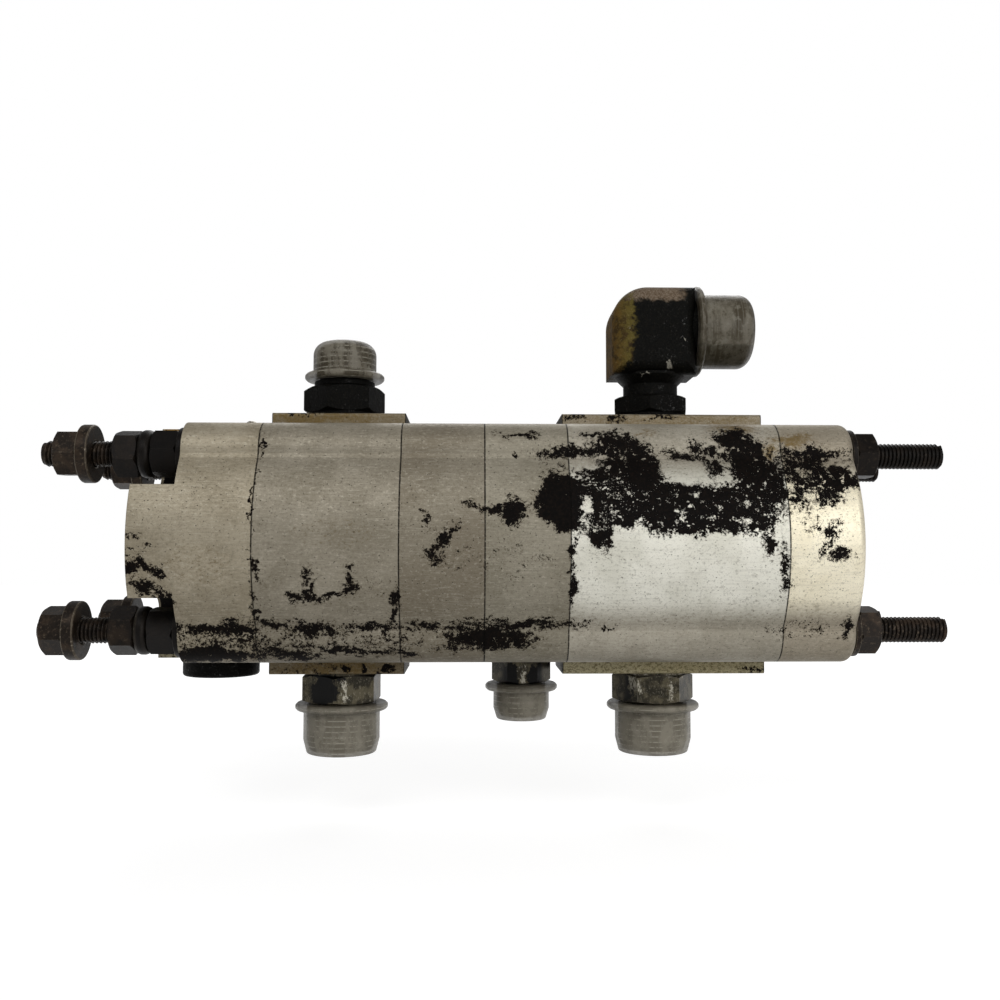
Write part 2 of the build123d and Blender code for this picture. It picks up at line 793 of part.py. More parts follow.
def tag_rivet(side):
    head_low = half_height + tag_thickness
    crown = head_low + rivet_head_height
    middle = ((rivet_head_diameter + rivet_crown_diameter) / 4, head_low + rivet_head_height * 2 / 3)
    head = turned([(0, head_low), (rivet_head_diameter / 2, head_low), middle,
                   (rivet_crown_diameter / 2, crown), (0, crown)])
    shank = disc(rivet_shank_diameter / 2, half_height - rivet_shank_length + rivet_end_gap, head_low)
    return Pos(tag_x, side * rivet_spacing / 2, 0) * (head + shank)


def build_parts():
    parts = {}
    parts["front_cover"] = [front_cover()]
    parts["front_gear_body"] = [gear_body(seam_1, seam_2, front_port_x)]
    parts["front_coupling_housing"] = [front_housing()]
    parts["rear_coupling_housing"] = [rear_housing()]
    parts["rear_gear_body"] = [gear_body(seam_4, seam_5, rear_port_x)]
    parts["rear_cover"] = [rear_cover()]

    parts["front_drive_gear"] = [front_drive_gear()]
    parts["front_driven_gear"] = [driven_gear(seam_1, seam_2, front_block_length)]
    parts["coupling_sleeve"] = [coupling_sleeve()]
    parts["rear_drive_gear"] = [rear_drive_gear()]
    parts["rear_driven_gear"] = [driven_gear(seam_4, seam_5, rear_block_length)]

    stages = {"front_stage": (seam_1, seam_2, front_block_length),
              "rear_stage": (seam_4, seam_5, rear_block_length)}
    for stage, (start, end, length) in stages.items():
        for label, place in zip(("front", "rear"), block_places(start, end, length)):
            parts[f"{stage}_{label}_bearing_block"] = [bearing_block(*place)]
        parts[f"{stage}_bushes"] = stage_bushes(start, end, length)
        parts[f"{stage}_pressure_seals"] = stage_pressure_seals(start, end, length)
        parts[f"{stage}_body_seals"] = stage_body_seals(start, end)
    parts["coupling_chamber_seal"] = [coupling_chamber_seal()]
    parts["front_interstage_seal"] = [lip_seal(seam_2 + housing_wall, -1)]
    parts["rear_interstage_seal"] = [lip_seal(seam_4 - housing_wall - seal_thickness, 1)]
    parts["shaft_seal"] = [lip_seal(seal_front_x, 1)]
    parts["seal_circlip"] = [circlip()]
    parts["dowels"] = [pin for seam in (seam_1, seam_2, seam_3, seam_4, seam_5) for pin in dowel_bar(seam)]

    places = list(zip(stud_places(), nut_turns))
    station = fastener_stations()
    parts["through_studs"] = [stud(y, z) for (y, z), turn in places]
    parts["clamp_washers"] = [
        stud_washer(station["clamp_washer"], clamp_washer_thickness, clamp_washer_diameter, y, z)
        for (y, z), turn in places]
    parts["clamp_nuts"] = [stud_nut(station["clamp_nut"], clamp_nut_height, y, z, turn)
                           for (y, z), turn in places]
    parts["lock_rings"] = [
        stud_washer(station["lock_ring"], lock_ring_thickness, lock_ring_diameter, y, z)
        for (y, z), turn in places]
    parts["second_nuts"] = [
        stud_nut(station["second_nut"], second_nut_height, y, z, turn + second_nut_turn)
        for (y, z), turn in places]
    parts["mounting_washers"] = [
        stud_washer(station["mounting_washer"] + hardware_shift(z), mounting_washer_thickness,
                    mounting_washer_diameter, y, z) for (y, z), turn in places]
    parts["mounting_nuts"] = [
        stud_nut(station["mounting_nut"] + hardware_shift(z), mounting_nut_height, y, z,
                 turn + mounting_nut_turn)
        for (y, z), turn in places]
    parts["rear_washers"] = [stud_washer(rear_x, rear_washer_thickness, rear_washer_diameter, y, z)
                             for (y, z), turn in places]
    parts["rear_nuts"] = [
        stud_nut(rear_x + rear_washer_thickness, rear_nut_height, y, z, turn + rear_nut_turn)
        for (y, z), turn in places]

    large = (inlet_thread, adapter_hex_flats, adapter_collar_height, adapter_hex_height,
             adapter_thread_length)
    small = (drain_thread, drain_hex_flats, drain_collar_height, drain_hex_height,
             drain_thread_length)
    parts["front_inlet_adapter"] = [outward(front_port_x, -1, pad_top) * straight_adapter(
        *large, adapter_wall, adapter_nose_height, front_adapter_turn)]
    parts["rear_inlet_adapter"] = [outward(rear_port_x, -1, pad_top) * straight_adapter(
        *large, adapter_wall, adapter_nose_height, rear_adapter_turn)]
    parts["drain_adapter"] = [outward(drain_port_x, -1) * straight_adapter(
        *small, drain_wall, drain_nose_height, rear_adapter_turn)]
    large_male = (inlet_thread, adapter_collar_height + adapter_hex_height, adapter_thread_length,
                  adapter_nose_height)
    small_male = (drain_thread, drain_collar_height + drain_hex_height, drain_thread_length,
                  drain_nose_height)
    parts["front_inlet_cap"] = [adapter_cap(front_port_x, pad_top, *large_male)]
    parts["rear_inlet_cap"] = [adapter_cap(rear_port_x, pad_top, *large_male)]
    parts["drain_cap"] = [adapter_cap(drain_port_x, half_height, *small_male)]

    parts["outlet_adapter"] = [outlet_adapter()]
    parts["outlet_adapter_lock_nut"] = [lock_nut(front_port_x, outlet_nut_height, outlet_nut_turn)]
    parts["outlet_adapter_cap"] = [outlet_cap()]
    parts["outlet_elbow"] = [elbow()]
    parts["outlet_elbow_lock_nut"] = [lock_nut(rear_port_x, elbow_nut_height, elbow_nut_turn)]
    parts["outlet_elbow_cap"] = [elbow_cap()]
    parts["backup_washers"] = [backup_washer(front_port_x), backup_washer(rear_port_x)]
    parts["port_o_rings"] = [
        port_o_ring(front_port_x, 1, pad_top, outlet_thread),
        port_o_ring(rear_port_x, 1, pad_top, outlet_thread),
        port_o_ring(front_port_x, -1, pad_top, inlet_thread),
        port_o_ring(rear_port_x, -1, pad_top, inlet_thread),
        port_o_ring(drain_port_x, -1, half_height, drain_thread)]

    parts["cover_plug"] = [cover_plug()]
    parts["tag_plate"] = [tag_plate()]
    parts["tag_rivets"] = [tag_rivet(-1), tag_rivet(1)]
    return parts


def write_parts():
    os.makedirs("parts", exist_ok=True)
    for name, solids in build_parts().items():
        pieces = [piece for solid in solids for piece in solid.solids()]
        shape = pieces[0] if len(pieces) == 1 else Compound(children=pieces)
        export_step(shape, f"parts/{name}.step")


write_parts()
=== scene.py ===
import json
from math import cos, radians, sin, tau

import bmesh
import bpy
from mathutils import Matrix, Vector

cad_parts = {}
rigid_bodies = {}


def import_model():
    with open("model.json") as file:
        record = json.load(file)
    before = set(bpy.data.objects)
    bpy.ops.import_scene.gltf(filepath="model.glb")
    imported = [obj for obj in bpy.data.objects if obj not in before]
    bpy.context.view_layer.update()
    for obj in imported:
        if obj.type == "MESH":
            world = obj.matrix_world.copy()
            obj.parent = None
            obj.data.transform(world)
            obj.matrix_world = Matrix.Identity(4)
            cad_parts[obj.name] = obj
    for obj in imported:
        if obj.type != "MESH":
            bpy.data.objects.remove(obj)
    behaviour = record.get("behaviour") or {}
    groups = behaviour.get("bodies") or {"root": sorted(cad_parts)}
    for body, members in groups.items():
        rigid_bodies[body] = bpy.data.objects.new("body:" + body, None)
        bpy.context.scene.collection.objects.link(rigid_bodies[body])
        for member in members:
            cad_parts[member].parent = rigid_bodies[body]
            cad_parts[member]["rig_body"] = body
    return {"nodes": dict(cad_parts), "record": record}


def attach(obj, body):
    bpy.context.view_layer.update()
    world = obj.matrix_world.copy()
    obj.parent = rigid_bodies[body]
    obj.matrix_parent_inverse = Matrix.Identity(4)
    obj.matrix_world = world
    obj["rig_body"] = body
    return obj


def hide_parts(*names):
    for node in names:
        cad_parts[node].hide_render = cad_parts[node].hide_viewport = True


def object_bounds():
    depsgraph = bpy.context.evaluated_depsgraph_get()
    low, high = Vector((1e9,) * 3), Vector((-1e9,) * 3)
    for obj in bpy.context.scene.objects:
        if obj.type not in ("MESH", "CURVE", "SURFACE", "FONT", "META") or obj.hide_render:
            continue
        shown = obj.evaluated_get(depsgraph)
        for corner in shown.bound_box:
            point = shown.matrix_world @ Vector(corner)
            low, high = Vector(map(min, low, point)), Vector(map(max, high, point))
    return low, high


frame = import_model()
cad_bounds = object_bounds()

millimetre = 0.001
metre_to_millimetre = 1000.0

# Sizes of the pump that the finish and the threads follow, in millimetres
stud_radius = 5.0
stud_pitch = 1.5
stud_thread_depth = 0.85
stud_spread = (64.0, 66.0)
stud_ends = (-37.8, 302.0)
front_thread_length = 58.0
rear_thread_length = 46.0
fitting_pitch = 2.12
fitting_thread_depth = 1.1
seams = (44.3, 96.5, 127.3, 158.1, 237.1)
shoulder = 15.8
pad_foot = 45.5
front_port = 70.4
drain_port = 142.7
rear_port = 196.1
elbow_axis = 87.8

# The floor lies low enough for the lower caps to be pulled off
cap_travel = 25.4

# How the finished pieces are cut and rounded
sharp_angle = 28.0
flat_angle = 0.6
rounding_steps = 2
merge_distance = 2e-6
ridge_turn = 90.0
stud_steps_per_turn = 28
fitting_steps_per_turn = 64
stud_sides = 40

white = (1.0, 1.0, 1.0, 1.0)
black = (0.0, 0.0, 0.0, 1.0)


class Value:
    """A number that changes over a surface or along a shape; arithmetic on it adds Math nodes."""

    def __init__(self, network, socket):
        self.network = network
        self.socket = socket

    def __add__(self, other):
        return self.network.math("ADD", self, other)

    def __radd__(self, other):
        return self.network.math("ADD", other, self)

    def __sub__(self, other):
        return self.network.math("SUBTRACT", self, other)

    def __rsub__(self, other):
        return self.network.math("SUBTRACT", other, self)

    def __mul__(self, other):
        return self.network.math("MULTIPLY", self, other)

    def __rmul__(self, other):
        return self.network.math("MULTIPLY", other, self)

    def __truediv__(self, other):
        return self.network.math("DIVIDE", self, other)

    def size(self):
        return self.network.math("ABSOLUTE", self)

    def most(self, other):
        return self.network.math("MAXIMUM", self, other)

    def least(self, other):
        return self.network.math("MINIMUM", self, other)

    def rise(self, low, high):
        """0 below low, 1 above high, with a soft ramp between them."""
        return self.network.node("ShaderNodeMapRange", {"interpolation_type": "SMOOTHSTEP"},
                                 {"Value": self, "From Min": low, "From Max": high})

    def fall(self, low, high):
        return 1.0 - self.rise(low, high)


class Network:
    """A node tree that is written as expressions."""

    def __init__(self, tree):
        self.tree = tree

    def node(self, kind, settings=None, values=None, output=0):
        made = self.tree.nodes.new(kind)
        for name, value in (settings or {}).items():
            setattr(made, name, value)
        for key, value in (values or {}).items():
            self.put(made.inputs[key], value)
        return Value(self, made.outputs[output])

    def put(self, socket, value):
        if isinstance(value, Value):
            self.tree.links.new(value.socket, socket)
        else:
            socket.default_value = value

    def math(self, operation, *values):
        return self.node("ShaderNodeMath", {"operation": operation}, dict(enumerate(values)))

    def vector(self, operation, *values, output=0):
        return self.node("ShaderNodeVectorMath", {"operation": operation},
                         dict(enumerate(values)), output)


def tint(red, green, blue):
    """A screen colour from 0 to 255 as the linear colour that the nodes take."""
    linear = []
    for part in (red, green, blue):
        share = part / 255.0
        linear.append(share / 12.92 if share <= 0.04045 else ((share + 0.055) / 1.055) ** 2.4)
    return (*linear, 1.0)


class Finish(Network):
    """One material of the pump, with its places measured in millimetres."""

    def __init__(self, name):
        self.material = bpy.data.materials.new(name)
        self.material.use_nodes = True
        super().__init__(self.material.node_tree)
        self.tree.nodes.clear()
        place = self.node("ShaderNodeTexCoord", output="Object")
        self.place = self.vector("SCALE", place)
        self.place.socket.node.inputs["Scale"].default_value = metre_to_millimetre
        self.x = self.node("ShaderNodeSeparateXYZ", values={0: self.place}, output=0)
        self.y = Value(self, self.x.socket.node.outputs[1])
        self.z = Value(self, self.x.socket.node.outputs[2])
        self.plane = None

    def grain(self, scale, detail=4.0, roughness=0.55, stretch=(1.0, 1.0, 1.0), shift=0.0):
        """Noise of about 0.5, with scale in features per millimetre."""
        place = self.vector("MULTIPLY", self.place, stretch)
        if shift:
            place = self.vector("ADD", place, (shift, shift, shift))
        return self.node("ShaderNodeTexNoise", {"noise_dimensions": "3D"},
                         {"Vector": place, "Scale": scale, "Detail": detail, "Roughness": roughness})

    def cells(self, scale, stretch=(1.0, 1.0, 1.0)):
        place = self.vector("MULTIPLY", self.place, stretch)
        return self.node("ShaderNodeTexVoronoi", None, {"Vector": place, "Scale": scale})

    def mix(self, share, first, second):
        return self.node("ShaderNodeMix", {"data_type": "RGBA"}, {0: share, 6: first, 7: second}, 2)

    def surface(self, colour, roughness, metallic=0.0, height=None, relief=0.1, changing=None, fixed=None):
        """Ends the material: relief is the height of the bumps in millimetres."""
        shader = self.tree.nodes.new("ShaderNodeBsdfPrincipled")
        self.put(shader.inputs["Base Color"], colour)
        self.put(shader.inputs["Roughness"], roughness)
        self.put(shader.inputs["Metallic"], metallic)
        for name, value in (changing or {}).items():
            self.put(shader.inputs[name], value)
        for name, value in (fixed or {}).items():
            shader.inputs[name].default_value = value
        if height is not None:
            bump = self.node("ShaderNodeBump", None, {"Height": height, "Distance": relief * millimetre})
            self.put(shader.inputs["Normal"], bump)
        end = self.tree.nodes.new("ShaderNodeOutputMaterial")
        self.tree.links.new(shader.outputs[0], end.inputs[0])
        return self.material

    def bent_plane(self):
        """Length and height over the near side, pushed about so that no patch keeps a clean outline."""
        place = self.place
        for scale, reach in ((0.16, 8.0), (0.7, 3.0)):
            drift = self.node("ShaderNodeTexNoise", {"noise_dimensions": "3D"},
                              {"Vector": self.place, "Scale": scale, "Detail": 2.0}, "Color")
            push = self.vector("MULTIPLY_ADD", drift, (reach, 0.0, reach), (-reach / 2, 0.0, -reach / 2))
            place = self.vector("ADD", place, push)
        x = self.node("ShaderNodeSeparateXYZ", values={0: place}, output=0)
        z = Value(self, x.socket.node.outputs[2])
        return (self.node("ShaderNodeCombineXYZ", None, {0: x, 1: x}),
                self.node("ShaderNodeCombineXYZ", None, {0: z, 1: z}))

    def patches(self, marks):
        """Above 0 inside the marks, up to the density of each, and falling steadily across its outline."""
        if self.plane is None:
            self.plane = self.bent_plane()
        strongest = None
        for along, up, half_length, half_height, lean, density in marks:
            turn = radians(lean)
            by_length = (cos(turn) / half_length, -sin(turn) / half_height, 0.0)
            by_height = (sin(turn) / half_length, cos(turn) / half_height, 0.0)
            shift = tuple(-along * part - up * other for part, other in zip(by_length, by_height))
            inside = self.vector("MULTIPLY_ADD", self.plane[0], by_length, shift)
            inside = self.vector("MULTIPLY_ADD", self.plane[1], by_height, inside)
            distance = self.vector("LENGTH", inside, output="Value")
            steepness = max(min(half_length, half_height) * slope_per_millimetre, least_steepness)
            field = self.math("MULTIPLY_ADD", distance, -steepness, steepness).least(density)
            strongest = field if strongest is None else strongest.most(field)
        return strongest


slope_per_millimetre = 0.25
least_steepness = 0.45

# Grease on the near side: place along the pump, height, half length, half height, lean in degrees, density
dense = 0.6
holed = 0.4
mostly = 0.2
sparse = -0.24
scarce = -0.4
grease_patches = [
    # the large patch on the rear casings
    (157.5, 14.5, 12.0, 10.5, 0.0, dense),
    (151.5, 20.0, 4.5, 7.0, -20.0, dense),
    (156.5, 32.9, 8.5, 2.3, 4.0, dense),
    (166.5, 33.5, 6.0, 2.2, 10.0, dense),
    (166.3, 39.5, 3.4, 0.9, 0.0, mostly),
    (177.5, 35.6, 9.2, 5.2, 0.0, holed),
    (184.5, 26.0, 7.5, 10.5, 0.0, dense),
    (174.0, 24.5, 11.5, 7.0, 0.0, holed),
    (175.0, 13.0, 13.0, 8.6, 0.0, holed),
    (200.0, 12.0, 22.0, 10.0, 0.0, 0.46),
    (221.0, 12.5, 15.5, 9.6, 0.0, holed),
    (224.5, 29.0, 7.8, 13.5, 8.0, 0.48),
    (219.5, 38.8, 8.0, 3.2, 0.0, dense),
    (205.5, 35.4, 1.6, 2.0, 0.0, dense),
    (212.0, 32.6, 6.0, 1.5, 0.0, holed),
    (202.5, 31.2, 7.5, 1.9, -14.0, holed),
    (210.5, 27.0, 5.0, 3.0, -20.0, holed),
    (169.3, 2.0, 3.6, 5.4, 20.0, dense),
    (229.3, 0.5, 2.4, 4.8, 0.0, dense),
    (235.2, -9.0, 1.6, 6.5, 0.0, dense),
    (172.5, -31.5, 1.5, 0.7, 0.0, dense),
    # rear cover
    (248.5, 32.4, 11.5, 2.4, 0.0, holed),
    (256.2, 23.2, 7.8, 5.4, 0.0, dense),
    (247.0, 26.5, 11.0, 7.0, 0.0, 0.3),
    (233.0, 22.0, 4.6, 11.5, 0.0, 0.34),
    (247.5, 16.5, 10.0, 4.2, 0.0, mostly),
    (243.8, 9.5, 5.2, 3.4, 0.0, sparse),
    (251.0, 0.5, 1.6, 5.0, -30.0, mostly),
    (254.5, -4.5, 3.6, 1.8, -25.0, mostly),
    (249.5, 3.5, 4.0, 4.0, 0.0, sparse),
    (245.0, -31.8, 8.0, 1.8, 0.0, sparse),
    (260.8, -31.8, 1.9, 2.8, 0.0, dense),
    # coupling housings
    (128.5, 12.3, 5.8, 1.3, -8.0, dense),
    (137.2, 10.0, 4.0, 5.0, 10.0, dense),
    (139.0, 13.5, 2.6, 1.6, -35.0, dense),
    (105.7, 8.3, 0.9, 2.0, 10.0, dense),
    (111.6, 1.2, 2.6, 3.6, 10.0, dense),
    (116.0, 5.2, 2.2, 1.3, 15.0, dense),
    (109.6, -4.6, 2.9, 1.8, -25.0, mostly),
    (139.8, 39.5, 5.3, 0.8, 2.0, dense),
    (139.0, 32.2, 0.8, 0.9, 0.0, dense),
    (137.0, -6.0, 11.0, 5.0, 0.0, scarce),
    (117.0, -4.0, 9.0, 4.0, 0.0, scarce),
    # front gear body
    (46.0, -9.3, 3.9, 1.0, -68.0, holed),
    (63.9, -12.5, 2.1, 2.7, -15.0, dense),
    (65.9, -15.8, 0.9, 1.6, 30.0, dense),
    (65.0, -20.2, 4.8, 1.5, -5.0, dense),
    (58.6, -19.6, 2.4, 1.5, 15.0, mostly),
    (72.5, -18.7, 3.5, 0.9, 18.0, holed),
    (78.9, -16.8, 2.9, 2.2, 0.0, dense),
    (78.4, -12.8, 0.9, 2.6, 0.0, dense),
    (87.0, -16.4, 6.5, 1.8, 0.0, scarce),
    # front cover
    (1.4, -10.4, 3.2, 2.4, 30.0, dense),
    (6.0, -8.8, 4.6, 1.8, -8.0, dense),
    (11.2, -11.2, 2.3, 1.6, -30.0, holed),
    (-1.8, -11.8, 0.9, 2.2, 10.0, mostly),
    (5.5, -3.4, 3.5, 1.0, 10.0, sparse),
    (6.3, -16.2, 4.8, 2.1, -8.0, dense),
    (13.4, -20.2, 3.8, 1.6, -38.0, dense),
    (1.8, 2.5, 2.8, 0.8, 0.0, sparse),
    # along the lower lobes
    (28.0, -31.4, 14.0, 1.9, 0.0, holed),
    (37.0, -32.0, 7.5, 2.8, 0.0, holed),
    (30.0, -36.5, 15.5, 3.6, 0.0, -0.04),
    (25.0, -41.6, 12.0, 3.4, 0.0, dense),
    (38.0, -42.0, 8.0, 2.6, 0.0, holed),
    (51.0, -30.0, 6.0, 1.4, -3.0, dense),
    (65.5, -31.7, 9.5, 2.1, -2.0, dense),
    (85.8, -31.2, 8.8, 1.5, 0.0, dense),
    (72.0, -36.0, 25.0, 3.0, 0.0, -0.16),
    (56.0, -41.2, 9.5, 2.2, 0.0, dense),
    (71.0, -39.6, 6.0, 1.1, 5.0, holed),
    (83.0, -40.4, 12.0, 1.2, 0.0, holed),
    (98.9, -31.2, 3.0, 0.8, 0.0, mostly),
    (106.0, -31.0, 3.8, 1.1, 0.0, dense),
    (118.4, -31.5, 4.8, 1.2, 0.0, dense),
    (98.8, -40.4, 3.4, 0.9, -8.0, mostly),
    (141.0, -30.1, 16.8, 1.6, 0.0, dense),
    (129.0, -35.2, 15.5, 4.4, 0.0, holed),
    (125.0, -38.0, 11.0, 1.6, 0.0, dense),
    # pads
    (162.5, 49.5, 4.5, 1.0, 0.0, mostly),
    (178.8, 49.5, 3.2, 1.2, 0.0, dense),
    (196.5, 50.0, 4.5, 0.6, 5.0, mostly),
    (55.0, 50.9, 4.8, 0.6, 0.0, mostly),
    (72.7, -49.1, 1.9, 1.2, 0.0, dense),
    (80.8, -49.4, 1.1, 0.9, 0.0, dense),
    (89.5, -49.2, 3.6, 0.9, 18.0, dense),
    (58.0, -48.4, 8.0, 1.6, 0.0, sparse),
    (231.5, -49.4, 4.0, 1.2, 0.0, mostly),
    # beside the joints
    (95.2, -20.4, 1.1, 2.9, 0.0, dense),
    (95.0, -26.4, 0.8, 2.5, 0.0, dense),
    (158.9, -17.0, 1.3, 8.0, 0.0, dense),
    (159.0, -4.0, 1.1, 5.0, 0.0, mostly),
    (45.3, 34.8, 0.6, 2.7, 0.0, dense),
    (44.4, 14.0, 0.5, 8.0, 0.0, mostly),
    (44.8, -24.0, 0.7, 6.5, 0.0, mostly),
]

# Bare metal showing through the grease
bare_patches = [
    (201.0, 26.0, 9.0, 4.2, 0.0, dense),
    (203.0, 22.6, 3.8, 2.2, 0.0, dense),
    (211.3, 35.9, 3.5, 1.4, 3.0, dense),
    (163.2, 11.5, 2.1, 5.8, 5.0, dense),
    (163.0, 28.2, 6.6, 2.2, 3.0, dense),
    (204.8, 16.1, 1.1, 1.8, 15.0, dense),
    (197.6, 9.4, 1.3, 1.4, 0.0, dense),
    (221.3, 13.6, 1.8, 1.3, 0.0, dense),
    (221.0, 7.5, 1.5, 1.9, 0.0, dense),
    (174.5, 18.5, 4.5, 3.2, 0.0, -0.1),
    (172.3, 8.7, 3.0, 2.2, 0.0, -0.1),
    (234.0, 12.0, 2.4, 2.8, 0.0, 0.05),
    (233.6, 2.5, 1.6, 2.2, 0.0, mostly),
    (244.0, 25.3, 2.2, 1.3, 0.0, mostly),
    (244.8, 15.0, 2.2, 2.8, 0.0, mostly),
    (256.0, 29.4, 4.2, 1.0, 0.0, dense),
]

# Yellow-brown stains
stain_patches = [
    (222.0, 43.5, 13.0, 3.2, 0.0, 1.4),
    (241.0, 37.5, 12.0, 3.2, 0.0, 1.2),
    (233.5, 33.0, 3.6, 5.0, 0.0, 1.0),
    (187.0, 41.0, 7.0, 1.4, 0.0, 0.6),
    (26.0, -9.0, 11.0, 8.0, 0.0, 0.1),
    (72.0, 3.0, 16.0, 5.0, 0.0, 0.05),
    (60.0, 49.0, 40.0, 3.0, 0.0, 0.6),
    (206.0, -48.5, 44.0, 3.4, 0.0, 1.0),
    (203.0, 49.0, 44.0, 3.0, 0.0, 0.3),
    (70.0, -48.5, 30.0, 3.0, 0.0, 0.5),
]

# Dark patches on the lower fittings, and the pale marks beside them, partly scrapes and partly painted glints
dark_fitting_patches = [
    (65.0, -58.0, 5.8, 5.4, 0.0, dense),
    (180.5, -57.5, 5.4, 7.0, 0.0, dense),
    (136.5, -54.0, 5.5, 6.0, 0.0, mostly),
    (149.5, -54.0, 3.6, 6.0, 0.0, mostly),
    (62.0, -52.6, 11.0, 1.2, 0.0, mostly),
]
scrape_and_glint_patches = [
    (73.2, -57.0, 1.2, 5.5, 0.0, dense),
    (187.2, -56.0, 1.7, 4.6, 0.0, dense),
    (201.3, -57.0, 1.1, 5.0, 0.0, dense),
    (143.8, -53.4, 1.1, 3.6, 0.0, dense),
    (190.0, -51.9, 6.0, 0.7, 0.0, dense),
    (203.0, -51.9, 4.0, 0.7, 0.0, dense),
    (140.0, -50.6, 4.0, 0.6, 0.0, mostly),
]

# Chips in the black paint of the elbow, and painted glints
chip_and_glint_patches = [
    (202.5, 71.8, 1.1, 2.0, 0.0, holed),
    (192.6, 67.7, 1.2, 0.5, 0.0, holed),
    (186.2, 85.4, 0.9, 0.9, 40.0, mostly),
    (207.3, 80.3, 0.7, 0.8, 0.0, holed),
    (184.6, 61.9, 1.8, 0.5, 20.0, mostly),
]


def casing_finish():
    """Extruded aluminium, dulled and pitted, with drawn lines along it and grease on the near side; the rear
    bulge carries a painted highlight and the lower casing painted shade.
    """
    finish = Finish("casing_metal")
    x, y, z = finish.x, finish.y, finish.z
    lines = finish.grain(1.3, 4.0, 0.6, (0.06, 1.0, 1.0))
    fine_lines = finish.grain(2.6, 3.0, 0.55, (0.07, 1.0, 1.0), 40.0)
    cloud = finish.grain(0.05, 5.0, 0.6)
    mottle = finish.grain(1.0, 6.0, 0.74, (0.7, 1.0, 1.0))
    speckle = finish.grain(2.0, 5.0, 0.78, (0.85, 1.0, 1.0))
    pits = finish.cells(0.8, (0.8, 1.0, 1.0))
    shift = cloud.rise(0.38, 0.62)

    cover = finish.mix(shift, tint(142, 133, 114), tint(160, 151, 132))
    front_body = finish.mix(shift, tint(131, 124, 109), tint(146, 139, 124))
    housing = finish.mix(shift, tint(122, 114, 99), tint(134, 127, 112))
    rear_housing = finish.mix(shift, tint(131, 125, 110), tint(144, 138, 123))
    lobes = finish.mix(shift, tint(150, 144, 130), tint(166, 160, 146))
    # Painted highlight: the pale bulge colours of the rear body and cover are partly their smoother polish,
    # partly a painted highlight
    bright = finish.mix(shift, tint(212, 210, 197), tint(228, 226, 214))
    cream = finish.mix(shift, tint(232, 223, 197), tint(244, 236, 212))

    joint_soft = 0.1
    metal = cover
    for seam, look in zip(seams, (front_body, housing, rear_housing, lobes)):
        metal = finish.mix((x - seam).rise(-joint_soft, joint_soft), metal, look)
    ragged_height = z.size() + (mottle - 0.5) * 5.0
    bulge = ragged_height.fall(19.0, 31.0)
    rear_body = (x - seams[3]).rise(-joint_soft, joint_soft)
    rear_cover = (x - seams[4]).rise(-joint_soft, joint_soft)
    # The rear body and cover are palest across the bulge, partly smoother polish and partly painted
    # highlight; the cover's lobes beside it stay darker
    metal = finish.mix(rear_body * bulge, metal, finish.mix(rear_cover, bright, cream))
    metal = finish.mix(rear_cover * (1.0 - bulge) * 0.5, metal, tint(136, 124, 104))
    # Painted shade: darker towards the bottom, except on the rear body
    metal = finish.mix(z.fall(-44.0, -12.0) * (0.3 - rear_body * 0.3), metal, tint(88, 82, 69))

    metal = finish.mix(lines.rise(0.5, 0.7) * 0.15, metal, tint(88, 80, 66))
    metal = finish.mix(fine_lines.rise(0.52, 0.7) * 0.16, metal, tint(200, 195, 180))
    metal = finish.mix(mottle.rise(0.52, 0.66) * 0.36, metal, tint(92, 84, 69))
    metal = finish.mix(mottle.fall(0.34, 0.46) * 0.26, metal, tint(204, 198, 182))
    metal = finish.mix(speckle.rise(0.57, 0.66) * 0.55, metal, tint(66, 58, 45))
    near = y.fall(-16.0, -8.0)
    stains = finish.patches(stain_patches) * near
    stain_share = (stains + (mottle - 0.5) * 1.6).rise(0.0, 0.7)
    metal = finish.mix(stain_share * 0.8, metal, tint(104, 84, 44))
    pads = z.size().rise(pad_foot, pad_foot + 0.5) * near
    lower_rear_pad = rear_body * z.fall(-46.0, -45.0)
    metal = finish.mix(pads * 0.45, metal, tint(112, 94, 58))
    metal = finish.mix(pads * lower_rear_pad * 0.6, metal, tint(186, 178, 142))
    metal = finish.mix(pads * lower_rear_pad * mottle.rise(0.5, 0.56) * 0.55, metal, tint(60, 52, 26))
    metal = finish.mix(pads * speckle.rise(0.5, 0.58) * 0.4, metal, tint(70, 58, 34))
    pit_share = pits.fall(0.08, 0.2) * speckle.rise(0.48, 0.54)
    metal = finish.mix(pit_share * 0.85, metal, tint(34, 28, 21))

    coarse = finish.grain(0.3, 8.0, 0.7, (0.8, 1.0, 1.0), 11.0)
    flecks = finish.grain(0.95, 5.0, 0.7, (1.0, 1.0, 1.0), 23.0)
    specks = finish.grain(2.1, 3.0, 0.7, (1.0, 1.0, 1.0), 57.0)
    ragged = (coarse - 0.5) * 1.9 + (flecks - 0.5) * 1.9 + (specks - 0.5) * 1.3
    worn = finish.grain(0.42, 4.0, 0.66, (1.0, 1.0, 1.0), 91.0)
    holes = worn.rise(0.57, 0.65) * x.rise(163.0, 172.0) * 0.58
    drawn = finish.patches(grease_patches) + ragged - holes
    bare = finish.patches(bare_patches) + ragged * 0.8
    drawn = drawn.least(0.1 - bare)
    elsewhere = finish.grain(0.028, 10.0, 0.66, (0.7, 1.0, 1.0), 71.0)
    away = (elsewhere - 0.63) * 3.0 + ragged * 0.25
    field = drawn * near + away * (1.0 - near)

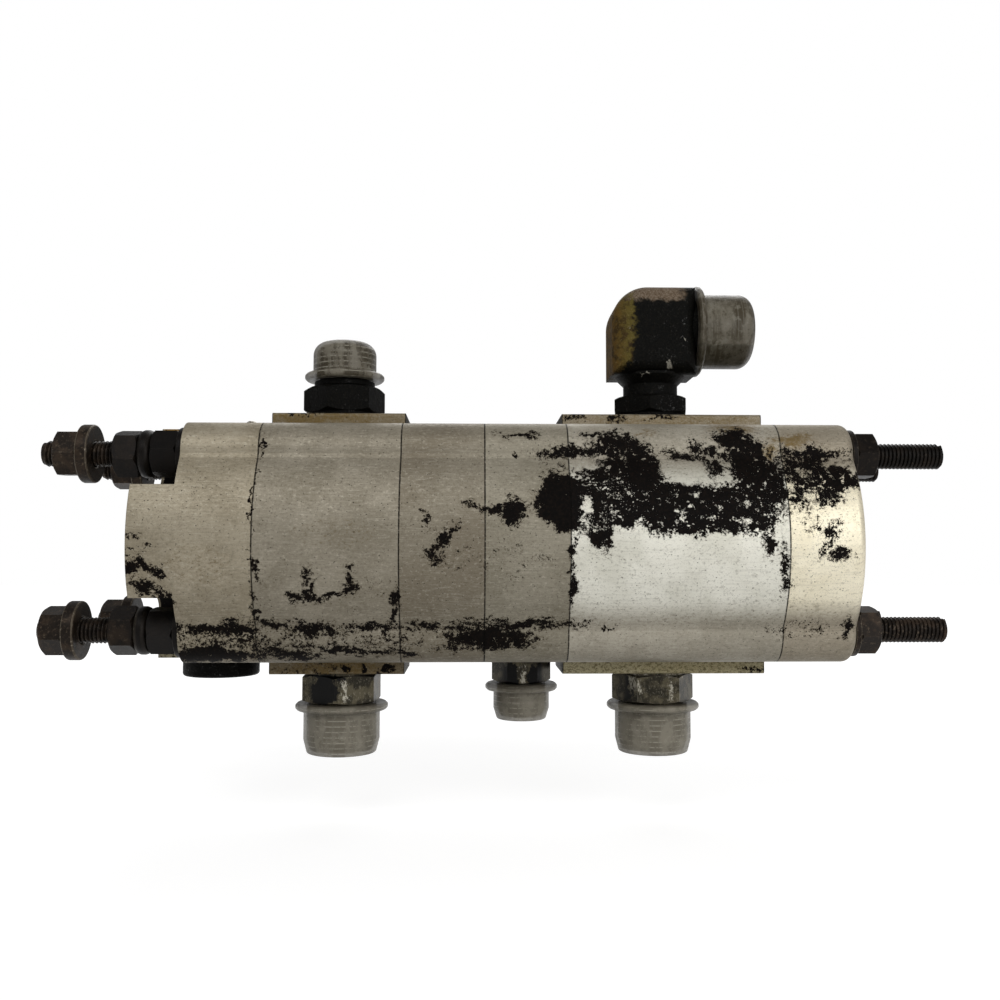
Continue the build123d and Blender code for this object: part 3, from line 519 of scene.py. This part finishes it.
    pocket = x.rise(0.4, 1.4) * x.fall(shoulder + 0.05, shoulder + 0.15) * z.size().rise(20.7, 21.1)
    worn_end = z.size().rise(43.0, 43.8)
    end_look = finish.mix(z.rise(-1.0, 1.0), tint(176, 166, 138), tint(146, 116, 68))
    metal = finish.mix(pocket * worn_end, metal, end_look)
    pocket_field = 0.5 - worn_end * 0.66 + ragged * 0.9
    field = field * (1.0 - pocket) + pocket_field * pocket
    grease = field.rise(-0.03, 0.04)
    film = field.rise(-0.3, 0.0)

    joints = None
    for seam in seams:
        gap = (x - seam).size().fall(0.1, 0.38)
        joints = gap if joints is None else joints.most(gap)
    joints = joints * flecks.rise(0.3, 0.5)

    colour = finish.mix(film * 0.4, metal, tint(74, 60, 40))
    grease_colour = finish.mix(flecks.rise(0.45, 0.65), tint(7, 5, 4), tint(20, 14, 10))
    colour = finish.mix(grease, colour, grease_colour)
    colour = finish.mix(joints * 0.92, colour, tint(12, 10, 8))
    roughness = 0.5 + (mottle - 0.5) * 0.35 - rear_body * bulge * 0.1 + grease * 0.12
    height = (lines * 0.35 + fine_lines * 0.2 + speckle * 0.25 - pit_share * 1.2
              + grease * (1.0 + flecks * 0.8) - joints * 1.5)
    return finish.surface(colour, roughness, (1.0 - grease) * 0.35, height, 0.12,
                          fixed={"Specular IOR Level": 0.05})


def steel_finish(name, dark, warm, pale, warm_share=0.5, scratch=(1.0, 1.0, 1.0)):
    """Dark steel with rusty and pale places, blackest on the nuts and rings next to the front cover."""
    finish = Finish(name)
    x, z = finish.x, finish.z
    cloud = finish.grain(0.16, 6.0, 0.62)
    mottle = finish.grain(0.9, 6.0, 0.7, (1.0, 1.0, 1.0), 7.0)
    flecks = finish.grain(2.6, 4.0, 0.7, scratch, 19.0)
    colour = finish.mix(cloud.rise(0.46, 0.62) * warm_share, dark, warm)
    colour = finish.mix(mottle.rise(0.54, 0.68) * 0.55, colour, pale)
    colour = finish.mix(flecks.rise(0.6, 0.72) * 0.35, colour, pale)
    front = x.rise(-17.0, -11.0) * x.fall(60.0, 90.0)
    blackened = front * 0.5 + front * x.rise(-3.0, 1.5) * 0.4 + front * z.rise(0.0, 8.0) * 0.3
    rear_top = x.rise(250.0, 262.0) * z.rise(0.0, 8.0) * 0.7
    share = blackened.most(rear_top).least(0.94)
    colour = finish.mix(share, colour, tint(9, 7, 6))
    roughness = 0.46 + (mottle - 0.5) * 0.4
    height = mottle * 0.6 + flecks * 0.4
    return finish.surface(colour, roughness, 0.3, height, 0.08, fixed={"Specular IOR Level": 0.14})


def nickel_finish(name, dark, olive, pale):
    """Plated steel of the lower fittings, olive with dirt, blackened on the left, with pale marks that are
    partly scrapes and partly painted glints.
    """
    finish = Finish(name)
    near = finish.y.fall(-9.0, -5.0)
    cloud = finish.grain(0.2, 6.0, 0.62)
    mottle = finish.grain(1.1, 6.0, 0.7, (1.0, 1.0, 0.7), 7.0)
    flecks = finish.grain(2.4, 4.0, 0.7, (1.0, 1.0, 0.3), 19.0)
    colour = finish.mix(cloud.rise(0.42, 0.6), dark, olive)
    colour = finish.mix(mottle.rise(0.55, 0.68) * 0.55, colour, pale)
    colour = finish.mix(flecks.rise(0.57, 0.7) * 0.4, colour, pale)
    ragged = (mottle - 0.5) * 1.6 + (flecks - 0.5) * 0.8
    # Pale marks: partly scrapes, partly painted glints on the hex edges and tops
    scrape_and_glint = (finish.patches(scrape_and_glint_patches) - 0.1 + ragged * 1.3).rise(-0.05, 0.3) * near
    colour = finish.mix(scrape_and_glint * 0.75, colour, tint(196, 191, 176))
    # Darker patches on the near side, mostly on the left of each fitting
    darkened = (finish.patches(dark_fitting_patches) + ragged * 0.5).rise(-0.03, 0.06) * near
    colour = finish.mix(darkened, colour, tint(9, 9, 8))
    roughness = 0.4 + (mottle - 0.5) * 0.4 + darkened * 0.1
    height = mottle * 0.6 + flecks * 0.4
    return finish.surface(colour, roughness, (1.0 - darkened) * 0.45, height, 0.08,
                          fixed={"Specular IOR Level": 0.12})


def greasy_finish():
    """Black paint and grease on the upper fittings, with wet spots, pale chips that are partly painted
    glints, and an olive stain on the elbow.
    """
    finish = Finish("black_grease")
    x, y, z = finish.x, finish.y, finish.z
    lumps = finish.grain(0.35, 5.0, 0.6)
    fine = finish.grain(1.8, 4.0, 0.65, (1.0, 1.0, 1.0), 9.0)
    colour = finish.mix(fine.rise(0.45, 0.7), tint(6, 6, 5), tint(20, 18, 13))
    edge = x + 2.5 + (lumps - 0.5) * 10.0 + (fine - 0.5) * 4.0
    foot = z - (x - 178.0) * 0.6 + (lumps - 0.5) * 10.0 + (fine - 0.5) * 4.0
    olive_share = edge.fall(188.0, 191.0) * foot.rise(66.0, 69.0) * x.rise(160.0, 162.0)
    top_share = (z + (lumps - 0.5) * 6.0).rise(96.5, 98.5) * edge.rise(186.0, 191.0) * edge.fall(208.0, 212.0)
    olive = finish.mix(edge.rise(180.0, 188.0), tint(98, 74, 36), tint(88, 78, 38))
    olive = finish.mix(lumps.rise(0.42, 0.62), olive, tint(62, 48, 26))
    olive = finish.mix(fine.rise(0.54, 0.68) * 0.5, olive, tint(126, 110, 76))
    colour = finish.mix(olive_share, colour, olive)
    band = finish.mix(fine.rise(0.42, 0.6), tint(96, 80, 64), tint(132, 118, 102))
    colour = finish.mix(top_share * 0.85, colour, band)
    near = y.fall(-7.0, -4.0)
    # Pale spots: partly chips in the paint, partly painted glints
    chips_and_glints = (finish.patches(chip_and_glint_patches) + (fine - 0.5) * 1.2).rise(0.02, 0.3) * near
    colour = finish.mix(chips_and_glints * 0.8, colour, tint(150, 146, 134))
    share = olive_share.most(top_share).most(chips_and_glints)
    wet = fine.rise(0.58, 0.66) * lumps.rise(0.5, 0.58) * (1.0 - share)
    roughness = 0.5 + share * 0.15
    height = lumps * 1.0 + fine * 0.5
    return finish.surface(colour, roughness, 0.0, height, 0.5, changing={"Coat Weight": wet},
                          fixed={"Specular IOR Level": 0.05, "Coat Roughness": 0.14})


def cap_finish():
    """Clear moulded plastic gone grey, gripped on the threads below it, with smears and greasy streaks."""
    finish = Finish("cap_film")
    x, z = finish.x, finish.z
    smear = finish.grain(0.15, 5.0, 0.62, (1.0, 1.0, 0.3))
    smudge = finish.grain(0.3, 4.0, 0.6, (1.0, 1.0, 1.0), 31.0)
    dust = finish.grain(1.2, 4.0, 0.7, (1.0, 1.0, 1.0), 5.0)
    on_elbow = x.rise(204.0, 205.0) * z.rise(60.0, 61.0)
    along = z * (1.0 - on_elbow) + x * on_elbow
    wave = finish.math("SINE", along * (tau / fitting_pitch))
    shown = (smear + (dust - 0.5) * 0.8).rise(0.46, 0.54) * (1.0 - on_elbow * 0.7)
    colour = finish.mix(smear.rise(0.42, 0.58), tint(138, 132, 118), tint(78, 71, 57))
    colour = finish.mix(smudge.rise(0.54, 0.64) * 0.55, colour, tint(66, 58, 43))
    colour = finish.mix(smudge.fall(0.36, 0.46) * 0.4, colour, tint(168, 164, 150))
    colour = finish.mix(wave.rise(0.7, 1.0) * shown * 0.7, colour, tint(186, 182, 168))
    colour = finish.mix(wave.fall(-1.0, -0.6) * shown * 0.4, colour, tint(52, 47, 38))
    colour = finish.mix(dust.rise(0.58, 0.7) * 0.5, colour, tint(60, 54, 43))
    lower = z.fall(-54.0, -50.0)
    colour = finish.mix(lower * 0.34, colour, tint(182, 176, 160))
    beside_drain = (x - drain_port).size().fall(16.0, 18.0)
    rim = z.rise(-64.4, -63.6) * (1.0 - beside_drain) + z.rise(-57.8, -57.0) * beside_drain
    colour = finish.mix(rim * lower * 0.5, colour, tint(66, 60, 50))
    colour = finish.mix((1.0 - lower) * (0.14 + on_elbow * 0.26), colour, tint(52, 46, 34))
    low_elbow = on_elbow * (z + (smear - 0.5) * 4.0).fall(79.6, 80.6)
    colour = finish.mix(low_elbow * 0.5, colour, tint(44, 40, 28))
    alpha = 0.7 + smear.rise(0.42, 0.6) * 0.1 + dust.rise(0.56, 0.7) * 0.06 + on_elbow * 0.12
    roughness = 0.36 + (smear - 0.5) * 0.4
    return finish.surface(colour, roughness, 0.0, smear + dust * 0.4 + wave * shown * 0.4, 0.12,
                          changing={"Alpha": alpha}, fixed={"Specular IOR Level": 0.16})


def rubber_finish():
    finish = Finish("seal_rubber_black")
    bloom = finish.grain(0.6, 5.0, 0.65)
    colour = finish.mix(bloom.rise(0.5, 0.7), tint(18, 18, 18), tint(44, 43, 40))
    return finish.surface(colour, 0.6 + (bloom - 0.5) * 0.3, 0.0, bloom, 0.05)


def machined_finish(name, base, shade, metallic):
    """Clean turned or ground metal inside the pump, with a film of oil."""
    finish = Finish(name)
    cut = finish.grain(3.0, 3.0, 0.6)
    film = finish.grain(0.12, 4.0, 0.6, (1.0, 1.0, 1.0), 3.0)
    colour = finish.mix(cut.rise(0.42, 0.66) * 0.6, base, shade)
    colour = finish.mix(film.rise(0.5, 0.7) * 0.4, colour, tint(120, 100, 66))
    return finish.surface(colour, 0.34 + (cut - 0.5) * 0.3, metallic, cut, 0.03)


def tag_finish():
    """Thin metal plate, scuffed and edged with grease."""
    finish = Finish("tag_metal")
    scuff = finish.grain(0.5, 6.0, 0.7, (1.0, 0.3, 1.0))
    fine = finish.grain(2.4, 4.0, 0.7, (0.4, 1.0, 1.0), 3.0)
    colour = finish.mix(scuff.rise(0.4, 0.65), tint(168, 162, 150), tint(104, 96, 82))
    colour = finish.mix(fine.rise(0.58, 0.7) * 0.5, colour, tint(60, 53, 42))
    return finish.surface(colour, 0.36 + (fine - 0.5) * 0.4, 0.8, scuff + fine, 0.05)


finishes = {
    "casing": casing_finish(),
    "gear_steel": machined_finish("gear_steel_ground", tint(150, 150, 152), tint(104, 104, 108), 0.9),
    "bearing_alloy": machined_finish("block_alloy", tint(176, 176, 174), tint(140, 139, 136), 0.8),
    "bush_bronze": machined_finish("bush_bronze_bore", tint(150, 112, 66), tint(116, 84, 48), 0.8),
    "seal_rubber": rubber_finish(),
    "fastener_steel": steel_finish("fastener_dark", tint(28, 22, 17), tint(66, 53, 41), tint(104, 91, 76)),
    "fitting_steel": nickel_finish("fitting_nickel", tint(44, 41, 33), tint(88, 82, 66), tint(160, 154, 137)),
    "black_fitting": greasy_finish(),
    "cap_plastic": cap_finish(),
    "tag": tag_finish(),
}
worn_edge = steel_finish("worn_edge", tint(72, 64, 54), tint(100, 90, 76), tint(168, 158, 142))
# Paler plated steel for the rounded edges of the lower fittings: partly scuffed, partly a painted glint along
# the edges
bright_edge = nickel_finish("bright_edge", tint(96, 91, 78), tint(132, 127, 112), tint(205, 200, 186))
thread_steel = steel_finish("thread_steel", tint(26, 21, 17), tint(58, 47, 38), tint(112, 99, 84), 0.8,
                            (3.0, 1.0, 1.0))

slot_of = {part["node"]: part["material_slot"] for part in frame["record"]["subparts"]}


def body_of(node_name):
    return frame["nodes"][node_name]["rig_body"]


def turn_down(shape, centre, along, radius, depth, low, high):
    """Cuts a fitting's male end to the thread's root, between low and high along its axis."""
    reach = Vector([millimetre * part for part in centre])
    for point in shape.verts:
        arm = point.co - reach
        height = arm[along]
        arm[along] = 0.0
        on_thread = abs(arm.length - radius * millimetre) < 0.00003
        if on_thread and low - 0.1 < height / millimetre < high + 0.1:
            point.co -= arm * (depth / radius)


def finished_copy(node_name, rounding, edge_finish=None, threaded=None):
    """A copy of a CAD node with its doubles merged, its curves smooth and its edges rounded."""
    source = frame["nodes"][node_name]
    shape = bmesh.new()
    shape.from_mesh(source.data)
    bmesh.ops.remove_doubles(shape, verts=shape.verts, dist=merge_distance)
    bmesh.ops.dissolve_limit(shape, angle_limit=radians(flat_angle), verts=shape.verts,
                             edges=shape.edges)
    if threaded:
        turn_down(shape, *threaded)
    mesh = bpy.data.meshes.new(node_name + "_finished")
    shape.to_mesh(mesh)
    shape.free()
    mesh.materials.clear()
    mesh.materials.append(finishes[slot_of[node_name]])
    mesh.materials.append(edge_finish or finishes[slot_of[node_name]])
    piece = bpy.data.objects.new(node_name + "_finished", mesh)
    bpy.context.scene.collection.objects.link(piece)
    mesh.shade_smooth()
    mesh.set_sharp_from_angle(angle=radians(sharp_angle))
    if rounding:
        bevel = piece.modifiers.new("rounding", "BEVEL")
        bevel.width = rounding * millimetre
        bevel.segments = rounding_steps
        bevel.limit_method = "ANGLE"
        bevel.angle_limit = radians(sharp_angle)
        bevel.use_clamp_overlap = True
        bevel.harden_normals = False
        bevel.material = 1 if edge_finish else -1
        even = piece.modifiers.new("even_light", "WEIGHTED_NORMAL")
        even.keep_sharp = False
    apply_modifiers(piece)
    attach(piece, body_of(node_name))
    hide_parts(node_name)
    return piece


def apply_modifiers(piece):
    """Turns a piece into the plain mesh that its modifiers give."""
    graph = bpy.context.evaluated_depsgraph_get()
    finished = bpy.data.meshes.new_from_object(piece.evaluated_get(graph), depsgraph=graph)
    piece.modifiers.clear()
    piece.data = finished


class ShapeTree(Network):
    """A geometry tree with named inputs."""

    def __init__(self, name):
        super().__init__(bpy.data.node_groups.new(name, "GeometryNodeTree"))
        self.tree.interface.new_socket(name="Shape", in_out="OUTPUT", socket_type="NodeSocketGeometry")
        self.start = self.tree.nodes.new("NodeGroupInput")
        self.keys = {}

    def number(self, name, value):
        made = self.tree.interface.new_socket(name=name, in_out="INPUT", socket_type="NodeSocketFloat")
        made.default_value = value
        self.keys[name] = made.identifier
        return Value(self, self.start.outputs[name])

    def material(self, name):
        made = self.tree.interface.new_socket(name=name, in_out="INPUT", socket_type="NodeSocketMaterial")
        self.keys[name] = made.identifier
        return Value(self, self.start.outputs[name])

    def end(self, shape, material):
        real = self.node("GeometryNodeRealizeInstances", None, {0: shape})
        dressed = self.node("GeometryNodeSetMaterial", None, {0: real, "Material": material})
        finish = self.tree.nodes.new("NodeGroupOutput")
        self.put(finish.inputs[0], dressed)

    def piece(self, name, values):
        """The plain mesh that the tree gives for these values."""
        holder = bpy.data.objects.new(name, bpy.data.meshes.new(name))
        bpy.context.scene.collection.objects.link(holder)
        modifier = holder.modifiers.new("shape", "NODES")
        modifier.node_group = self.tree
        for key, value in values.items():
            modifier[self.keys[key]] = value
        apply_modifiers(holder)
        return holder

    def join(self, *shapes):
        joined = self.tree.nodes.new("GeometryNodeJoinGeometry")
        for shape in shapes:
            self.tree.links.new(shape.socket, joined.inputs[0])
        return Value(self, joined.outputs[0])

    def moved(self, shape, along):
        offset = self.node("ShaderNodeCombineXYZ", None, {2: along})
        return self.node("GeometryNodeTransform", None, {0: shape, "Translation": offset})

    def thread(self, radius, depth, pitch, length, per_turn):
        """One closed triangular ridge, wound from 0 to length, with its crest at the radius."""
        turns = length / pitch
        path = self.node("GeometryNodeCurveSpiral", None, {
            "Resolution": per_turn, "Rotations": turns, "Start Radius": radius - depth,
            "End Radius": radius - depth, "Height": length})
        upright = self.node("GeometryNodeSetCurveNormal", {"mode": "Z_UP"}, {0: path})
        ridge = self.node("GeometryNodeCurvePrimitiveCircle", {"mode": "RADIUS"},
                          {"Resolution": 3, "Radius": depth})
        wide = self.node("GeometryNodeTransform", None, {
            0: ridge, "Rotation": (0.0, 0.0, radians(ridge_turn))})
        return self.node("GeometryNodeCurveToMesh", None, {0: upright, 1: wide, "Fill Caps": True})


def stud_tree():
    """Four studs at the corners of their pattern, with a thread wound on each end."""
    tree = ShapeTree("threaded_studs")
    radius = tree.number("Stud radius", 0.005)
    depth = tree.number("Thread depth", 0.0008)
    pitch = tree.number("Thread pitch", 0.0015)
    length = tree.number("Stud length", 0.34)
    front = tree.number("Front thread", 0.05)
    rear = tree.number("Rear thread", 0.05)
    across = tree.number("Pattern across", 0.064)
    up = tree.number("Pattern up", 0.066)
    start = tree.number("Front end", -0.0378)
    dress = tree.material("Steel")
    core = tree.node("GeometryNodeMeshCylinder", None, {
        "Vertices": stud_sides, "Radius": radius - depth, "Depth": length - 0.0004})
    core = tree.moved(Value(tree, core.socket), length * 0.5)
    shank_length = length - front - rear
    shank = tree.node("GeometryNodeMeshCylinder", None, {
        "Vertices": stud_sides, "Radius": radius - depth * 0.2, "Depth": shank_length})
    shank = tree.moved(shank, front + shank_length * 0.5)
    front_thread = tree.moved(tree.thread(radius, depth, pitch, front - pitch, stud_steps_per_turn),
                              pitch * 0.6)
    rear_thread = tree.moved(tree.thread(radius, depth, pitch, rear - pitch, stud_steps_per_turn),
                             length - rear + pitch * 0.4)
    one = tree.join(core, shank, front_thread, rear_thread)
    corners = tree.node("GeometryNodeMeshGrid", None, {
        "Size X": across, "Size Y": up, "Vertices X": 2, "Vertices Y": 2})
    all_four = tree.node("GeometryNodeInstanceOnPoints", None, {"Points": corners, "Instance": one})
    lying = tree.node("GeometryNodeTransform", None, {
        0: all_four, "Rotation": (radians(90.0), 0.0, radians(90.0))})
    offset = tree.node("ShaderNodeCombineXYZ", None, {0: start})
    placed = tree.node("GeometryNodeTransform", None, {0: lying, "Translation": offset})
    tree.end(placed, dress)
    return tree


studs = stud_tree().piece("threaded_studs", {
    "Stud radius": stud_radius * millimetre,
    "Thread depth": stud_thread_depth * millimetre,
    "Thread pitch": stud_pitch * millimetre,
    "Stud length": (stud_ends[1] - stud_ends[0]) * millimetre,
    "Front thread": front_thread_length * millimetre,
    "Rear thread": rear_thread_length * millimetre,
    "Pattern across": stud_spread[0] * millimetre,
    "Pattern up": stud_spread[1] * millimetre,
    "Front end": stud_ends[0] * millimetre,
    "Steel": thread_steel,
})
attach(studs, "casing")
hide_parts("through_studs")


def fitting_tree():
    """The thread of a fitting's male end, wound upwards from its own origin."""
    tree = ShapeTree("fitting_thread")
    radius = tree.number("Thread radius", 0.0135)
    depth = tree.number("Thread depth", 0.0011)
    pitch = tree.number("Thread pitch", 0.0021)
    length = tree.number("Thread length", 0.014)
    dress = tree.material("Steel")
    tree.end(tree.thread(radius, depth, pitch, length, fitting_steps_per_turn), dress)
    return tree


# Each male end: centre, axis, radius, and where its thread runs along that axis from the centre
male_ends = {
    "front_inlet_adapter": ((front_port, 0.0, 0.0), 2, 13.5, -77.5, -63.2, "fitting_steel", "casing"),
    "rear_inlet_adapter": ((rear_port, 0.0, 0.0), 2, 13.5, -77.5, -63.2, "fitting_steel", "casing"),
    "drain_adapter": ((drain_port, 0.0, 0.0), 2, 9.525, -65.4, -55.6, "fitting_steel", "casing"),
    "outlet_adapter": ((front_port, 0.0, 0.0), 2, 11.1, 65.8, 76.1, "fitting_steel", "casing"),
    "outlet_elbow": ((0.0, 0.0, elbow_axis), 0, 13.5, 213.1, 231.4, "fitting_steel", "elbow"),
}
thread_form = fitting_tree()
for name, (centre, along, radius, low, high, slot_name, body) in male_ends.items():
    thread = thread_form.piece(name + "_thread", {
        "Thread radius": radius * millimetre,
        "Thread depth": fitting_thread_depth * millimetre,
        "Thread pitch": fitting_pitch * millimetre,
        "Thread length": (high - low - fitting_pitch) * millimetre,
        "Steel": finishes[slot_name],
    })
    base = Vector(centre)
    base[along] = low + fitting_pitch / 2
    lie_down = Matrix.Rotation(radians(90.0), 4, "Y") if along == 0 else Matrix.Identity(4)
    thread.data.transform(Matrix.Translation(base * millimetre) @ lie_down)
    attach(thread, body)

# How far each node's edges are rounded, in millimetres, and the finish of those edges
rounded_nodes = {
    "front_cover": (0.5, None),
    "front_gear_body": (0.25, None),
    "front_coupling_housing": (0.25, None),
    "rear_coupling_housing": (0.25, None),
    "rear_gear_body": (0.25, None),
    "rear_cover": (0.8, None),
    "clamp_washers": (0.4, worn_edge),
    "clamp_nuts": (1.5, worn_edge),
    "lock_rings": (1.5, worn_edge),
    "second_nuts": (0.9, worn_edge),
    "mounting_washers": (0.6, worn_edge),
    "mounting_nuts": (0.5, worn_edge),
    "rear_washers": (0.3, worn_edge),
    "rear_nuts": (0.6, worn_edge),
    "front_inlet_adapter": (0.4, bright_edge),
    "rear_inlet_adapter": (0.4, bright_edge),
    "drain_adapter": (0.35, bright_edge),
    "outlet_adapter": (0.3, None),
    "outlet_adapter_lock_nut": (1.5, None),
    "outlet_elbow": (0.6, None),
    "outlet_elbow_lock_nut": (1.3, None),
    "cover_plug": (0.6, None),
    "front_inlet_cap": (0.3, None),
    "rear_inlet_cap": (0.3, None),
    "drain_cap": (0.3, None),
    "outlet_adapter_cap": (0.3, None),
    "outlet_elbow_cap": (0.3, None),
    "tag_plate": (0.1, None),
    "tag_rivets": (0.0, None),
}
for name, (rounding, edge_finish) in rounded_nodes.items():
    threaded = None
    if name in male_ends:
        centre, along, radius, low, high = male_ends[name][:5]
        threaded = (centre, along, radius, fitting_thread_depth, low, high)
    finished_copy(name, rounding, edge_finish, threaded=threaded)

for name, node in frame["nodes"].items():
    for index in range(len(node.data.materials)):
        node.data.materials[index] = finishes[slot_of[name]]
    if not node.data.materials:
        node.data.materials.append(finishes[slot_of[name]])


# Camera where the photograph was taken from
camera_place = (122.43, -431.0, -7.3)
camera_focal_share = 1.055
sensor_width = 36.0
camera_turn = (93.34, 0.04, -1.55)
camera_data = bpy.data.cameras.new("camera")
camera_data.sensor_width = sensor_width
camera_data.lens = camera_focal_share * sensor_width
camera_data.clip_start = 0.01
camera = bpy.data.objects.new("camera", camera_data)
camera.location = Vector(camera_place) * millimetre
aside = Matrix.Rotation(radians(camera_turn[2]), 4, "Z")
upward = Matrix.Rotation(radians(camera_turn[0]), 4, "X")
level = Matrix.Rotation(radians(camera_turn[1]), 4, "Z")
camera.rotation_euler = (aside @ upward @ level).to_euler()
bpy.context.scene.collection.objects.link(camera)
bpy.context.scene.camera = camera


floor_grey = (0.42, 0.42, 0.42, 1.0)
floor_half_width = 4.0


def floor_finish():
    """Pale floor, white to the camera and in reflections, which keeps the pump's shadow."""
    finish = Finish("floor_pale")
    path = finish.tree.nodes.new("ShaderNodeLightPath")
    seen = Value(finish, path.outputs["Is Camera Ray"])
    seen = seen.most(Value(finish, path.outputs["Is Glossy Ray"]))
    seen = seen.most(Value(finish, path.outputs["Is Transmission Ray"]))
    away = finish.vector("LENGTH", finish.place, output="Value").rise(300.0, 1200.0)
    glow = 0.75 + away * 0.25
    return finish.surface(floor_grey, 0.9, 0.0, changing={
        "Emission Color": finish.mix(seen * glow, black, white)},
        fixed={"Emission Strength": 1.0, "Specular IOR Level": 0.0})


def build_floor(half_width):
    shape = bmesh.new()
    bmesh.ops.create_grid(shape, x_segments=2, y_segments=2, size=half_width)
    mesh = bpy.data.meshes.new("floor")
    shape.to_mesh(mesh)
    shape.free()
    mesh.materials.append(floor_finish())
    floor = bpy.data.objects.new("floor", mesh)
    floor.location = (0.12, 0.0, cad_bounds[0][2] - cap_travel * millimetre)
    bpy.context.scene.collection.objects.link(floor)


def soft_lamp(name, place, aim, width, power):
    data = bpy.data.lights.new(name, "AREA")
    data.shape = "RECTANGLE"
    data.size = width
    data.size_y = width * 0.7
    data.energy = power
    lamp = bpy.data.objects.new(name, data)
    lamp.location = place
    lamp.rotation_euler = (Vector(aim) - Vector(place)).to_track_quat("-Z", "Y").to_euler()
    bpy.context.scene.collection.objects.link(lamp)


def build_world():
    """Even light from all round, and plain white where the camera or a reflection sees it."""
    world = bpy.data.worlds.new("studio")
    bpy.context.scene.world = world
    world.use_nodes = True
    room = Network(world.node_tree)
    room.tree.nodes.clear()
    path = room.tree.nodes.new("ShaderNodeLightPath")
    seen = Value(room, path.outputs["Is Camera Ray"])
    strength = room.node("ShaderNodeMapRange", None, {"Value": seen, "To Min": 0.3, "To Max": 1.0})
    shader = room.node("ShaderNodeBackground", None, {"Color": white, "Strength": strength})
    end = room.tree.nodes.new("ShaderNodeOutputWorld")
    room.put(end.inputs[0], shader)


build_floor(floor_half_width)
build_world()
pump_middle = (0.13, 0.0, 0.0)
soft_lamp("key_lamp", (-0.2, -0.95, 0.85), pump_middle, 0.8, 5.6)
soft_lamp("fill_lamp", (0.75, -0.85, 0.3), pump_middle, 0.7, 4.4)
soft_lamp("back_lamp", (0.2, 0.9, 0.8), pump_middle, 0.9, 5.0)
bpy.context.scene.view_settings.view_transform = "Standard"
